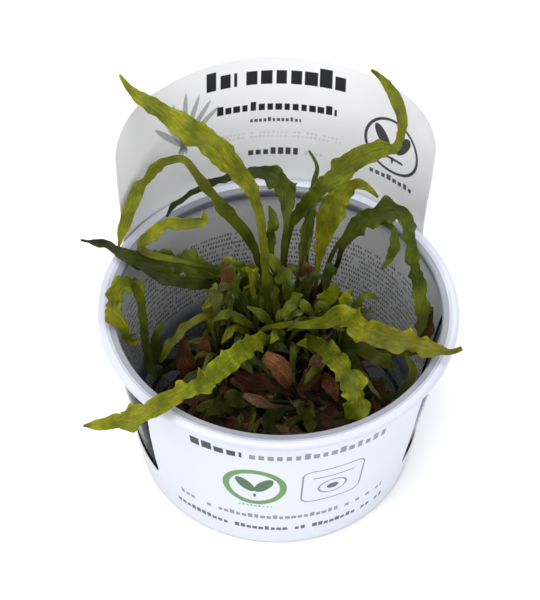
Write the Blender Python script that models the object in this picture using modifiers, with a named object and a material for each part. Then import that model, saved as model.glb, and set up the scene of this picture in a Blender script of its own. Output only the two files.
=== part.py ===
# Cryptocoryne crispatula: plantlets in a clear tissue-culture cup with a card sleeve.
# Metres, +Z up. Origin: centre of the cup's underside. The sleeve's front faces -Y, its arched back stands at +Y.

import math

import bmesh
import bpy
import numpy as np
from mathutils import Vector

MM = 0.001

# ---- driving dimensions, millimetres ----
TAPER = 0.139          # how much every wall radius grows per millimetre of height
CUP_R0 = 37.9          # cup wall, outside radius at the table
CUP_WALL = 0.8
CUP_FLOOR = 0.9
RIM_R = 47.5           # rolled rim, outside radius
RIM_TOP = 55.25
LIP_R = 43.0           # inside radius of the rim's turned-in lip
GEL_TOP = 11.6
GAP = 0.3              # room left between pieces that touch
CARD_T = 0.4
CARD_R0 = 38.4         # card, middle of its thickness at the table
PANEL_TOP = 52.2       # front panel, just under the rim
PANEL_HALF = (51.4, 54.6)   # half angle of the front panel at its top and low down, degrees
NOTCH_Z = 12.2         # floor of the two side notches
SIDE_HALF = 92.0       # half angle of the card behind the notches, degrees from the back
SIDE_TOP = 51.2        # its top edge, tucked under the rim
BACK_R = 48.25         # arched back, radius as it passes the rim
BACK_LEAN = 0.045      # its lean inwards, mm per mm
BACK_TOP = 100.0
BLADE_T = 0.5
CROWN_TOP = 16.8
CROWN_R = 3.3
RING_R = 2.4           # the petioles stand on this ring of the crown
BASE_Z = 17.7          # where the petioles start
VIEW_UP = np.array((0.0, -0.67, 0.74))   # blades turn their upper face this way

# ---- the plantlets: name, (x, y) of the short rhizome ----
CROWNS = {
    "a": (-3.5, 8.0), "b": (4.0, 9.5), "c": (-8.5, 13.5), "d": (-14.0, 5.5),
    "e": (-1.5, -0.5), "f": (11.0, 13.0), "g": (15.0, 3.5), "h": (6.0, -4.0),
}

# ---- the leaves: name, crown, then the midrib as (x, y, z, half width) ----
LEAVES = [
    ("leaf_tall_left", "a", [(0, 10, 30, 0.8), (-2, 11, 44, 1.1), (-3, 11, 57, 1.3), (-4, 13, 70, 1.3), (-6, 15, 80, 1.6), (-10, 16, 87, 2.5), (-16, 18, 94, 3.3), (-24, 21, 99, 3), (-31, 24, 103, 1.9), (-36, 27, 105, 1.2), (-39, 30, 108, 0.3)]),
    ("leaf_arch_left", "a", [(-1, 12, 34, 0.8), (-3, 17, 48, 1.1), (-7, 21, 58, 1.5), (-14, 23, 68, 1.7), (-20, 26, 76, 1.2), (-24, 30, 79, 1), (-29, 30, 78, 1.2), (-35, 28, 74, 1.5), (-39, 24, 69, 1.8), (-41, 20, 64, 1.4), (-42, 18, 59, 0.3)]),
    ("leaf_fold_back", "b", [(2, 12, 38, 0.8), (2, 18, 54, 1), (4, 20, 65, 1.2), (4, 22, 71, 2.6), (1, 26, 74, 2.9), (-3, 28, 75.5, 2.1), (-8, 28, 75, 1.2), (-16, 28, 72.5, 1.1), (-22, 27, 69.5, 0.8), (-27, 26, 66, 0.7), (-29, 25, 63, 0.3)]),
    ("leaf_upcurl_left", "c", [(-4, 14, 36, 0.8), (-12, 16, 48, 0.8), (-24, 15, 55, 0.8), (-36, 17, 59, 1.2), (-33, 19, 62.5, 1.6), (-29, 20, 65, 1.5), (-23, 19, 66, 1.5), (-19, 19, 67, 1.2), (-19, 20, 69.5, 0.3)]),
    ("leaf_broad_left", "c", [(-3, 14, 32, 1.1), (-10, 15, 43, 2.2), (-18, 16, 49, 3.1), (-26, 17, 53, 3.7), (-34, 15, 56, 2.9), (-40, 15, 59, 1.8), (-45, 18, 60, 1.1), (-48, 18, 61, 0.8), (-52, 19, 61, 0.3)]),
    ("leaf_dark_left", "c", [(-5, 15, 38, 0.8), (-10, 15, 45, 1.4), (-19, 12, 50, 1.6), (-28, 10, 54, 1.6), (-34, 11, 57, 1.3), (-38, 13, 58, 0.3)]),
    ("leaf_loop_left", "d", [(-23.5, 10, 24, 0.9), (-31, 2, 26, 1.1), (-34.5, -2, 31, 1.3), (-35.5, 0, 38, 1.3), (-36, 3, 46, 1.3), (-36.5, 5, 53, 1.4), (-38, 5.5, 58, 1.9), (-41, 3, 60, 2.1), (-43, -2, 60, 2.1), (-43, -6, 58.6, 2.1), (-40.6, -7.3, 53.5, 1.5), (-39, -6, 48, 1), (-36.5, -3, 45, 0.3)]),
    ("leaf_drop_left", "d", [(-22, 10, 22, 0.9), (-28, 5.5, 24, 1.6), (-32, 3.5, 29, 1.8), (-33, 5.5, 36, 1.3), (-31, 7, 40, 0.4)]),
    ("leaf_front_left", "e", [(-2, 5, 32, 1.1), (-5, -3, 44, 2.1), (-10, -12, 50, 2.6), (-15, -20, 54, 2.8), (-21, -29, 58, 2.5), (-27, -34, 60, 2.2), (-33, -39, 61, 2.4), (-39, -41, 60, 2.2), (-45, -40, 57, 1.5), (-50, -38, 54, 0.3)]),
    ("leaf_long_right", "e", [(-4, 6, 37, 0.9), (1, 4, 42, 1.1), (7, -1, 47, 1.3), (12, -4, 51, 1.7), (16, -5, 55, 2.8), (20, -12, 58, 3.1), (26, -17, 59.5, 3.1), (33, -20, 60, 2.7), (38, -22, 60, 1.8), (42, -23, 60, 0.8), (45, -22, 60, 0.6)]),
    ("leaf_front_right", "e", [(7, 5, 34, 1.1), (11, -4, 42, 2), (14, -12, 46, 2.6), (16.5, -19, 48, 2.8), (18.5, -23, 46, 3.2), (18.5, -26, 42, 3.2), (16.5, -26, 38, 0.5)]),
    ("leaf_tall_right", "b", [(3, 12, 34, 0.8), (2, 14, 52, 1.1), (3, 14, 68, 1.4), (6, 13, 78, 1.7), (12, 12, 86, 2.3), (18, 13, 92, 2.8), (24, 13, 96, 2.3), (29, 12, 98, 1.4), (31, 17, 99, 1.1), (31, 20, 101, 1.4), (30, 24, 103, 1.6), (28, 27, 105, 1.2), (24, 30, 108, 0.3)]),
    ("leaf_thin_back", "f", [(6, 13, 45, 0.5), (9, 19, 70, 0.8), (10, 23, 77, 0.8), (11, 25, 80, 0.5), (9, 28, 83, 0.3)]),
    ("leaf_bright_right", "f", [(9, 12, 38, 0.8), (12, 19, 50, 1.1), (13, 21, 58, 2.2), (15, 22, 66, 3.5), (18, 24, 71, 2.9), (21, 24, 74, 1.6), (24, 22, 75, 1.1), (27, 20, 73, 0.3)]),
    ("leaf_arch_right", "f", [(8, 15, 34, 0.9), (11, 15, 43, 0.9), (15, 15.5, 52, 0.9), (18, 16, 59, 1.2), (21, 17, 64.5, 2.2), (25, 17, 68.5, 2.7), (29, 16.5, 71, 2.9), (33, 16, 71, 2.1), (35, 12, 66, 1.7), (36, 9, 60, 1.8), (38, 6, 53, 1.9), (39, 2, 46, 1.9), (38, -1, 40, 0.3)]),
    ("leaf_slip_right", "f", [(13, 18, 44, 0.8), (18, 20, 58, 0.8), (26, 19, 65, 0.8), (31, 14, 67, 0.9), (31, 11, 64, 1.3), (30, 10, 60, 1.1), (28, 9, 57, 0.3)]),
    ("leaf_low_left", "d", [(-10, 12.5, 35, 1), (-15, 10.5, 40, 1.1), (-21, 7.5, 41, 1.1), (-26, 5, 39, 1.2), (-30, 1, 36, 1.1), (-32, 0, 32, 0.4)]),
    ("leaf_inner_a", "b", [(3, 14, 24, 0.9), (1, 13, 46, 1.1), (0, 14, 60, 1.3), (0, 16, 69, 1.6), (-2, 17, 74, 0.3)]),
    ("leaf_inner_b", "f", [(7, 12, 30, 0.8), (7, 14, 50, 1.1), (7, 18, 62, 1.9), (8, 20, 69, 1.6), (6, 21, 73, 0.3)]),
    ("leaf_inner_c", "f", [(10, 12, 25, 0.8), (9, 16, 38, 1.1), (9, 19, 50, 1.1), (10, 22, 60, 1.1), (11, 25, 66, 0.3)]),
    ("leaf_inner_d", "b", [(5, 11, 29, 0.8), (3, 10.5, 43, 1.4), (2, 12.5, 51, 1.9), (-1, 13.5, 57, 1.9), (-4, 14, 60, 0.3)]),
    ("leaf_inner_e", "a", [(-2, 12, 28, 0.8), (-5, 13, 40, 1.1), (-6, 15, 48, 1.6), (-10, 15, 53, 1.6), (-14, 15, 55, 0.3)]),
    ("leaf_mid_left", "d", [(-4, 12, 34, 0.8), (-9, 13, 42, 1.6), (-15, 11, 46, 2.2), (-20, 9, 44, 0.5)]),
    ("leaf_small_a", "d", [(-5, 8, 32, 0.8), (-9, 7, 40, 1.4), (-14, 6, 44, 1.4), (-18, 5, 42, 0.3)]),
    ("leaf_small_b", "e", [(3, 8, 31, 0.8), (7, 6.5, 38.5, 1.6), (12, 2.5, 43.5, 1.6), (18, -0.5, 43.5, 0.3)]),
    ("leaf_small_c", "e", [(0, 8, 28, 0.8), (-2, 7, 38, 1.4), (-4, 7, 43, 1.6), (-8, 8, 45, 0.3)]),
    ("leaf_small_d", "b", [(3, 9, 34, 0.8), (2, 8, 42, 1.6), (4, 7, 48, 1.9), (7, 7, 50, 0.3)]),
    ("leaf_flap_right", "f", [(9, 11, 34, 0.8), (12, 9, 44, 1.4), (15, 8, 49, 2.2), (16, 9, 52, 0.5)]),
    ("leaf_wall_right", "g", [(16, 9, 24, 0.8), (30, 0, 32, 1.1), (41, -1, 36, 1.4), (43, 1, 43, 1.6), (42, 3, 48, 0.3)]),
    ("leaf_low_right_a", "g", [(15, 7, 26, 1.1), (22, 3, 32, 1.9), (28, -1, 32, 1.9), (33, -1, 28, 0.3)]),
    ("leaf_low_right_b", "g", [(16, 6, 18, 0.6), (25, -3, 20, 0.8), (32, -8, 24, 1.1), (37, -5, 30, 1.1), (35, -1, 34, 0.3)]),
    ("leaf_low_front_left", "h", [(-4, -4, 19, 1.3), (-12, -6, 22, 2.2), (-17, -10, 24, 2.2), (-20, -13, 25, 0.3)]),
    ("leaf_low_front", "h", [(7, -8, 20, 1.8), (8, -13, 22.5, 2.2), (8, -17, 24, 1.6), (8, -20, 24, 0.4)]),
    ("leaf_low_front_mid", "h", [(1, -8, 19, 1.4), (-3, -13, 21, 1.9), (-2, -17, 22.5, 1.2), (1, -20, 22.5, 0.4)]),
    ("leaf_small_e", "c", [(-3.5, 17, 34, 0.8), (-8, 15.5, 42, 1.5), (-13, 13.5, 45, 2.1), (-17.5, 10.5, 45, 1.5), (-20, 8.5, 44, 0.3)]),
    ("leaf_small_f", "a", [(-4, 10.5, 32, 0.8), (-8.5, 11, 37, 1.4), (-12.5, 10, 40, 1.6), (-15.5, 10, 41, 0.3)]),
    ("leaf_small_g", "a", [(-1.5, 10.5, 32, 0.8), (1.5, 9.5, 38, 1.5), (5, 8.5, 42, 1.7), (7.5, 6.5, 44, 0.3)]),
    ("leaf_small_h", "a", [(-2, 12, 38, 0.8), (-2.5, 11.5, 44, 1.5), (-1, 12.5, 48, 1.6), (1, 13.5, 49, 0.3)]),
    ("leaf_small_i", "g", [(8, 6, 30, 0.9), (10, 5.5, 34, 1.6), (12, 3.5, 36, 1.2), (14, 3.5, 37, 0.3)]),
    ("dead_leaf_left_red", "d", [(-21.5, 7, 19, 1.4), (-23.5, 3, 24, 2.3), (-25.5, 3, 31, 2.4), (-25, 5, 35, 0.9)]),
    ("dead_leaf_left_tan", "d", [(-18, 6.5, 20.5, 1.0), (-19.5, 5, 24, 1.8), (-20, 5.5, 30, 1.9), (-19.5, 7, 34, 0.7)]),
    ("dead_leaf_curled", "h", [(4.5, -0.5, 19.5, 1.2), (3, -0.5, 23, 2.3), (0, 0.5, 29, 2.8), (-3.5, 2, 32, 1.5)]),
    ("dead_leaf_rolled", "e", [(-5.5, -1, 19.3, 1.2), (-9, 0, 21, 1.9), (-13, 2, 21, 0.6)]),
    ("dead_leaf_loop", "h", [(6.5, -1.5, 19, 1.1), (9, -1.5, 25, 2), (11, -1, 31, 2.1), (13, 0.5, 34, 0.8)]),
    ("dead_leaf_fold", "g", [(10.5, -1, 19, 1.1), (12.5, 0, 23, 1.8), (15, -4.5, 24, 1.8), (16.5, -7, 21, 0.5)]),
    ("dead_leaf_front", "h", [(-1, -6.5, 19, 1), (-4, -6, 20, 1.4), (-7.5, -4.5, 21, 1.4), (-9.5, -3.5, 21, 0.4)]),
    ("dead_leaf_back", "f", [(7, 14.5, 32, 1), (8, 15, 39, 1.7), (9, 15.5, 46, 2), (10, 16.5, 51, 0.8)]),
    ("dead_leaf_across", "h", [(2, -2, 19, 1.2), (-2.5, -1, 21.5, 2.3), (-7.5, -0.5, 24, 2.6), (-12, 1, 25, 0.7)]),
]


def wall_in(z):
    return CUP_R0 - CUP_WALL + TAPER * z


def smooth(t):
    t = min(1.0, max(0.0, t))
    return t * t * (3 - 2 * t)


def card_radius(u_deg, z):
    """Middle surface of the card. At the back it swells out to pass outside the rim, then stands up."""
    cone = CARD_R0 + TAPER * z
    back = 1.0 - smooth((abs(u_deg) - 62.0) / 14.0)
    stand = BACK_R - BACK_LEAN * max(0.0, z - RIM_TOP)
    t = smooth((z - 46.5) / 6.0) * back
    return cone * (1 - t) + stand * t


# ---- midribs ----
def spline(points, count):
    """Centripetal Catmull-Rom through the control points, read at even arc length. Columns: x, y, z, half width."""
    p = np.asarray(points, float)
    ends = np.vstack((2 * p[0] - p[1], p, 2 * p[-1] - p[-2]))
    fine = []
    for i in range(1, len(ends) - 2):
        quad = ends[i - 1:i + 3]
        gaps = np.maximum(np.linalg.norm(np.diff(quad[:, :3], axis=0), axis=1), 1e-6) ** 0.5
        t0 = 0.0
        t1, t2, t3 = np.cumsum(gaps)
        t = np.linspace(t1, t2, 12, endpoint=False)[:, None]
        a1 = (t1 - t) / (t1 - t0) * quad[0] + (t - t0) / (t1 - t0) * quad[1]
        a2 = (t2 - t) / (t2 - t1) * quad[1] + (t - t1) / (t2 - t1) * quad[2]
        a3 = (t3 - t) / (t3 - t2) * quad[2] + (t - t2) / (t3 - t2) * quad[3]
        b1 = (t2 - t) / (t2 - t0) * a1 + (t - t0) / (t2 - t0) * a2
        b2 = (t3 - t) / (t3 - t1) * a2 + (t - t1) / (t3 - t1) * a3
        fine.append((t2 - t) / (t2 - t1) * b1 + (t - t1) / (t2 - t1) * b2)
    fine = np.vstack(fine + [p[-1:]])
    run = np.concatenate(([0.0], np.cumsum(np.linalg.norm(np.diff(fine[:, :3], axis=0), axis=1))))
    at = np.linspace(0.0, run[-1], count)
    out = np.stack([np.interp(at, run, fine[:, k]) for k in range(fine.shape[1])], axis=1)
    return out, run[-1]


def frames(path):
    """Tangent, sideways and upper-face directions along a path."""
    tangent = np.gradient(path[:, :3], axis=0)
    tangent /= np.linalg.norm(tangent, axis=1)[:, None]
    side = np.cross(tangent, VIEW_UP)
    size = np.linalg.norm(side, axis=1)
    if size.min() > 0.25:
        side /= size[:, None]
        if (side[1:] * side[:-1]).sum(axis=1).min() > 0:
            return tangent, side, np.cross(side, tangent)
    for i in range(len(side)):
        if size[i] < 0.25 and i:
            side[i] = side[i - 1]
        side[i] -= tangent[i] * (side[i] @ tangent[i])
        side[i] /= np.linalg.norm(side[i])
        if i and side[i] @ side[i - 1] < 0:
            side[i] = -side[i]
    return tangent, side, np.cross(side, tangent)


def rooted():
    """Control points of every leaf, each started from its own place on the ring of its crown."""
    out = []
    for crown, (cx, cy) in CROWNS.items():
        own = []
        for name, at, points in LEAVES:
            if at == crown:
                rest = [p for p in points if p[2] > BASE_Z + 1.0]
                own.append((math.atan2(rest[0][1] - cy, rest[0][0] - cx), name, rest))
        own.sort()
        turn = [a - 2 * math.pi * k / len(own) for k, (a, _, _) in enumerate(own)]
        first = math.atan2(sum(map(math.sin, turn)), sum(map(math.cos, turn)))
        for k, (_, name, rest) in enumerate(own):
            angle = first + 2 * math.pi * k / len(own)
            base = (cx + RING_R * math.cos(angle), cy + RING_R * math.sin(angle), BASE_Z, 0.5)
            rise = (base[0] * 0.8 + rest[0][0] * 0.2, base[1] * 0.8 + rest[0][1] * 0.2, BASE_Z + max(1.2, 0.3 * (rest[0][2] - BASE_Z)), 0.6)
            if rest[0][2] - BASE_Z < 4.0:
                out.append([name, np.array([base] + rest, float)])
            else:
                out.append([name, np.array([base, rise] + rest, float)])
    out.sort(key=lambda item: item[0])
    return out


def samples(points):
    """Points spread over a blade, with the control points that carry each: (places, lower control point, share)."""
    run = np.concatenate(([0.0], np.cumsum(np.linalg.norm(np.diff(points[:, :3], axis=0), axis=1))))
    count = int(max(12, run[-1] / 1.35))
    path, _ = spline(points, count)
    _, side, _ = frames(path)
    knot = np.interp(np.linspace(0.0, run[-1], count), run, np.arange(len(points)))
    place, at = [], []
    for s in (-0.97, -0.5, 0.0, 0.5, 0.97):
        keep = path[:, 3] > (0.0 if s == 0.0 else 1.5 if abs(s) == 0.5 else 0.4)
        place.append((path[:, :3] + side * s * path[:, 3:4])[keep])
        at.append(knot[keep])
    at = np.concatenate(at)
    low = np.minimum(at.astype(int), len(points) - 2)
    return np.vstack(place), low, at - low


def spread_apart(leaves, rounds=220, room=1.3):
    """Moves control points until no two blades are nearer than the room they need, and none meets the cup or the card."""
    depth = np.array((0.0, 0.67, -0.74))
    order = {}
    crowns = np.array(list(CROWNS.values()))
    for step in range(rounds):
        cloud = [samples(points) for _, points in leaves]
        push = [np.zeros((len(points), 3)) for _, points in leaves]
        load = [np.zeros(len(points)) for _, points in leaves]
        worst = 0.0

        def shove(i, which, move):
            low, share = cloud[i][1][which], cloud[i][2][which]
            for at, w in ((low, 1 - share), (low + 1, share)):
                np.add.at(push[i], at, move * w[:, None])
                np.add.at(load[i], at, w)

        lows = np.array([c[0].min(axis=0) for c in cloud]) - room
        highs = np.array([c[0].max(axis=0) for c in cloud])
        for i in range(len(leaves)):
            for j in range(i + 1, len(leaves)):
                if (lows[i] > highs[j]).any() or (lows[j] > highs[i]).any():
                    continue
                a, b = cloud[i][0], cloud[j][0]
                ia = np.nonzero(((a > lows[j]) & (a < highs[j] + room)).all(axis=1))[0]
                ib = np.nonzero(((b > lows[i]) & (b < highs[i] + room)).all(axis=1))[0]
                if not len(ia) or not len(ib):
                    continue
                gap = a[ia][:, None] - b[ib][None]
                far = np.sqrt((gap ** 2).sum(axis=2))
                early = (cloud[i][1][ia] == 0)[:, None] & (cloud[j][1][ib] == 0)[None]
                need = np.where(early, 0.85, room)
                hit = np.nonzero(far < need)
                if not len(hit[0]):
                    continue
                d = np.maximum(far[hit], 1e-6)
                away = gap[hit] / d[:, None]
                if (i, j) not in order:
                    order[i, j] = 1.0 if (away @ depth).sum() >= 0 else -1.0
                away = away + 1.1 * order[i, j] * depth
                away /= np.linalg.norm(away, axis=1)[:, None] + 1e-9
                short = (need[hit] - d)[:, None]
                worst = max(worst, float(short.max()))
                shove(i, ia[hit[0]], away * short * 0.6)
                shove(j, ib[hit[1]], -away * short * 0.6)
        for i in range(len(leaves)):
            p = cloud[i][0]
            r = np.hypot(p[:, 0], p[:, 1])
            outward = np.column_stack((p[:, 0], p[:, 1], np.zeros(len(p)))) / np.maximum(r, 1e-6)[:, None]
            z = p[:, 2]
            over = r - wall_in(z) + 0.9
            hit = np.nonzero((z < 52.5) & (over > 0) & (over < 6))[0]
            shove(i, hit, -outward[hit] * over[hit][:, None])
            hit = np.nonzero((z >= 52.5) & (z < RIM_TOP + 1.1) & (r > 43.4) & (r < RIM_R + 1.0))[0]
            lift = np.where(z[hit] > 53.6, RIM_TOP + 1.1 - z[hit], 0.0)
            shove(i, hit, np.column_stack((0 * lift, 0 * lift, lift)) - outward[hit] * np.where(lift > 0, 0.0, r[hit] - 43.4)[:, None])
            u = np.abs(np.degrees(np.arctan2(p[:, 0], p[:, 1])))
            near = np.nonzero((u < 66) & (z > 50) & (z < BACK_TOP + 1.5) & (r > 44))[0]
            over = np.array([r[k] - card_radius(u[k], z[k]) + 1.2 for k in near])
            if len(near):
                near, over = near[over > 0], over[over > 0]
                shove(i, near, -outward[near] * over[:, None])
            hit = np.nonzero((z < GEL_TOP + 1.2))[0]
            shove(i, hit, np.column_stack((0 * hit, 0 * hit, GEL_TOP + 1.2 - z[hit])))
            off = p[:, None, :2] - crowns[None]
            span = np.sqrt((off ** 2).sum(axis=2))
            hit = np.nonzero((span < CROWN_R + 0.8) & (z < CROWN_TOP + 0.8)[:, None] & (cloud[i][1] > 0)[:, None])
            if len(hit[0]):
                flat = off[hit] / np.maximum(span[hit], 1e-6)[:, None] * (CROWN_R + 0.8 - span[hit])[:, None]
                shove(i, hit[0], np.column_stack((flat, 0.5 * (CROWN_TOP + 0.8 - z[hit[0]]))))
        for (_, points), moved, share in zip(leaves, push, load):
            moved[0] = 0.0
            points[:, :3] += moved / np.maximum(share, 1.0)[:, None]
        if worst < 0.16:
            break
    return leaves


# ---- scene ----
for old in list(bpy.data.objects):
    bpy.data.objects.remove(old, do_unlink=True)
home = bpy.data.collections.new("cryptocoryne_crispatula_cup")
bpy.context.scene.collection.children.link(home)


def material(name, colour, rough, alpha=1.0, transmission=0.0, ior=1.45):
    made = bpy.data.materials.new(name)
    made.use_nodes = True
    shader = made.node_tree.nodes["Principled BSDF"]
    shader.inputs["Base Color"].default_value = (*colour, 1.0)
    shader.inputs["Roughness"].default_value = rough
    shader.inputs["Metallic"].default_value = 0.0
    shader.inputs["Alpha"].default_value = alpha
    shader.inputs["Transmission Weight"].default_value = transmission
    shader.inputs["IOR"].default_value = ior
    return made


def add(name, mesh, mat):
    mesh.materials.append(mat)
    thing = bpy.data.objects.new(name, mesh)
    home.objects.link(thing)
    return thing


def turned(name, profile, steps, mat, angle=35):
    """A profile in (radius, height), turned about Z with a Screw modifier. It ends down its outer side."""
    mesh = bpy.data.meshes.new(name)
    mesh.from_pydata([(r * MM, 0.0, z * MM) for r, z in profile], [(i, i + 1) for i in range(len(profile) - 1)], [])
    thing = add(name, mesh, mat)
    screw = thing.modifiers.new("turn", "SCREW")
    screw.axis = "Z"
    screw.angle = 2 * math.pi
    screw.steps = screw.render_steps = steps
    screw.use_merge_vertices = True
    screw.merge_threshold = 0.00001
    screw.use_smooth_shade = True
    return thing


clear_plastic = material("clear_plastic", (0.90, 0.93, 0.95), 0.12, 0.35, 0.9, 1.49)
white_card = material("white_card", (0.86, 0.87, 0.90), 0.45)
gel_clear = material("nutrient_gel", (0.62, 0.68, 0.72), 0.08, 0.5, 0.9, 1.34)
rhizome = material("rhizome", (0.20, 0.17, 0.06), 0.6)
leaf_green = material("leaf_green", (0.17, 0.21, 0.02), 0.42)
leaf_dead = material("leaf_dead", (0.14, 0.06, 0.02), 0.6)

# ---- cup ----
turned("cup", [
    (0.0, CUP_FLOOR), (35.9, CUP_FLOOR), (37.0, 1.5), (wall_in(3.0), 3.0), (wall_in(28.0), 28.0), (wall_in(50.8), 50.8),
    (LIP_R + 0.1, 53.2), (LIP_R, 54.3), (LIP_R + 0.5, 54.9), (45.5, RIM_TOP), (46.6, RIM_TOP), (47.2, 54.9), (RIM_R, 54.3), (RIM_R, 53.7),
    (47.1, 53.2), (46.3, 53.0), (CUP_R0 + TAPER * 52.5 + 0.1, 52.5), (CUP_R0 + TAPER * 28.0, 28.0),
    (CUP_R0 + TAPER * 3.0, 3.0), (38.0, 1.2), (37.2, 0.3), (36.4, 0.0), (0.0, 0.0),
], 50, clear_plastic)

# ---- nutrient gel ----
turned("nutrient_gel", [
    (0.0, GEL_TOP), (wall_in(GEL_TOP) - 2.0, GEL_TOP), (wall_in(GEL_TOP) - GAP - 0.1, GEL_TOP + 0.9),
    (wall_in(3.2) - GAP - 0.1, 3.2), (36.6, 1.9), (35.6, CUP_FLOOR + GAP), (0.0, CUP_FLOOR + GAP),
], 48, gel_clear)

# ---- card sleeve: a flat blank, ruled into columns, wrapped round the cup, then thickened ----
def blank_outline():
    """Right half of the blank as (angle from the back in degrees, height), from the top middle down to the foot."""
    def deg(arc):
        return math.degrees(arc / 48.0)
    pts = [(deg(a), BACK_TOP - 1.4 * (a / 31.0) ** 2) for a in (0.0, 9.0, 18.0, 27.0)]
    mid, side, low, high = 34.0, 51.9, 87.0, BACK_TOP - 1.4 * (34.0 / 31.0) ** 2
    for k in range(0, 9):
        t = math.radians(90 - 90 * k / 8)
        pts.append((deg(mid + (side - mid) * max(0.0, math.cos(t)) ** (2 / 2.3)), low + (high - low) * max(0.0, math.sin(t)) ** (2 / 2.3)))
    pts += [(deg(51.1), 76.0), (deg(49.9), 66.0), (deg(49.2), 57.0), (deg(49.1), SIDE_TOP + 2.2), (deg(49.5), SIDE_TOP + 0.8), (deg(50.4), SIDE_TOP)]
    pts += [(SIDE_HALF - 3.0, SIDE_TOP), (SIDE_HALF - 0.8, SIDE_TOP - 0.8), (SIDE_HALF, SIDE_TOP - 2.6), (SIDE_HALF, NOTCH_Z + 3.2)]
    for k in range(1, 4):
        t = math.radians(180 + 90 * k / 4)
        pts.append((SIDE_HALF + 4.0 + 4.0 * math.cos(t), NOTCH_Z + 3.2 + 3.2 * math.sin(t)))
    pts.append((SIDE_HALF + 4.0, NOTCH_Z))
    low_edge, top_edge = 180 - PANEL_HALF[1], 180 - PANEL_HALF[0]
    for k in range(0, 4):
        t = math.radians(270 + 90 * k / 4)
        pts.append((low_edge - 4.0 + 4.0 * math.cos(t), NOTCH_Z + 3.2 + 3.2 * math.sin(t)))
    pts += [(low_edge, NOTCH_Z + 3.2), (low_edge, 21.0), (low_edge + 1.2, 33.0), (top_edge - 0.6, 41.0), (top_edge, PANEL_TOP - 1.0), (top_edge + 1.2, PANEL_TOP)]
    pts += [(180.0, PANEL_TOP), (180.0, 0.4)]
    return pts


work = bmesh.new()
half = blank_outline()
loop = [(u, z) for u, z in half] + [(-u, z) for u, z in reversed(half) if u > 1e-6]
work.faces.new([work.verts.new((u, 0.0, z)) for u, z in loop])
for u in np.arange(-172.5, 180.0, 7.5):
    bmesh.ops.bisect_plane(work, geom=work.verts[:] + work.edges[:] + work.faces[:], dist=1e-4, plane_co=(u, 0, 0), plane_no=(1, 0, 0))
for z in (46.5, 48.0, 49.5, 51.0, 52.5, 55.25, 75.0):
    bmesh.ops.bisect_plane(work, geom=work.verts[:] + work.edges[:] + work.faces[:], dist=1e-4, plane_co=(0, 0, z), plane_no=(0, 0, 1))
for v in work.verts:
    u, z = v.co.x, v.co.z
    r = card_radius(u, z)
    a = math.radians(u)
    v.co = Vector((r * math.sin(a), r * math.cos(a), z)) * MM
bmesh.ops.remove_doubles(work, verts=work.verts[:], dist=1e-6)
bmesh.ops.recalc_face_normals(work, faces=work.faces[:])
card = bpy.data.meshes.new("card_sleeve")
work.to_mesh(card)
work.free()
card.shade_smooth()
sleeve = add("card_sleeve", card, white_card)
thick = sleeve.modifiers.new("thickness", "SOLIDIFY")
thick.thickness = CARD_T * MM
thick.offset = 0.0

# ---- crowns: short rhizomes that stand on the gel ----
for name, (cx, cy) in CROWNS.items():
    work = bmesh.new()
    height = CROWN_TOP - GEL_TOP - GAP
    bmesh.ops.create_cone(work, cap_ends=True, segments=14, radius1=CROWN_R * MM, radius2=(CROWN_R - 0.2) * MM, depth=height * MM)
    bmesh.ops.inset_region(work, faces=[f for f in work.faces if f.normal.z < -0.9], thickness=0.5 * MM, depth=0.2 * MM)
    mesh = bpy.data.meshes.new("crown_" + name)
    work.to_mesh(mesh)
    work.free()
    mesh.shade_smooth()
    mesh.set_sharp_from_angle(angle=math.radians(40))
    made = add("crown_" + name, mesh, rhizome)
    made.location = (cx * MM, cy * MM, (GEL_TOP + GAP + height / 2) * MM)

# ---- leaves: a flat strip bent along its midrib, thickened ----
for name, points in spread_apart(rooted()):
    _, length = spline(points, 8)
    count = int(min(17, max(6, round(length / 5.8))))
    path, _ = spline(points, count)
    tangent, side, up = frames(path)
    work = bmesh.new()
    bmesh.ops.create_grid(work, x_segments=2, y_segments=count - 1, size=1.0)
    for v in work.verts:
        i = int(round((v.co.y + 1) / 2 * (count - 1)))
        s = v.co.x
        wide = max(0.35, path[i, 3])
        v.co = Vector(tuple((path[i, :3] + side[i] * s * wide + up[i] * (abs(s) - 0.5) * 0.16 * wide) * MM))
    mesh = bpy.data.meshes.new(name)
    work.to_mesh(mesh)
    work.free()
    mesh.shade_smooth()
    blade = add(name, mesh, leaf_dead if name.startswith("dead") else leaf_green)
    solid = blade.modifiers.new("thickness", "SOLIDIFY")
    solid.thickness = BLADE_T * MM
    solid.offset = 0.0
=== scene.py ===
# Cryptocoryne crispatula plantlets in a clear cup with a card sleeve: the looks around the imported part.

import math

import bmesh
import bpy
import numpy as np
from mathutils import Matrix, Vector, kdtree


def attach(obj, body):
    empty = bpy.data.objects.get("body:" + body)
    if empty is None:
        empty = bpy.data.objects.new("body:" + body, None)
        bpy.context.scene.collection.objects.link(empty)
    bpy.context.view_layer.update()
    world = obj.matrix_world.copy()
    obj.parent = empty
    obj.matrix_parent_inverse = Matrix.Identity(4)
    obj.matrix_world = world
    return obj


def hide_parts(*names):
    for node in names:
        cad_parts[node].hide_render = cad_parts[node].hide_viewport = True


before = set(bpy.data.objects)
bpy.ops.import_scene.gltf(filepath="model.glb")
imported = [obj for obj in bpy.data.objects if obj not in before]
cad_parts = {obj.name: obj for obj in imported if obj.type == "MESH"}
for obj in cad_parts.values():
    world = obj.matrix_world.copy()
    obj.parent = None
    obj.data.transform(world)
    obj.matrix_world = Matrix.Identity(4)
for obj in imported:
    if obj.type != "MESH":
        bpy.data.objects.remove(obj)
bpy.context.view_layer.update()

MM = 0.001

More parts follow.
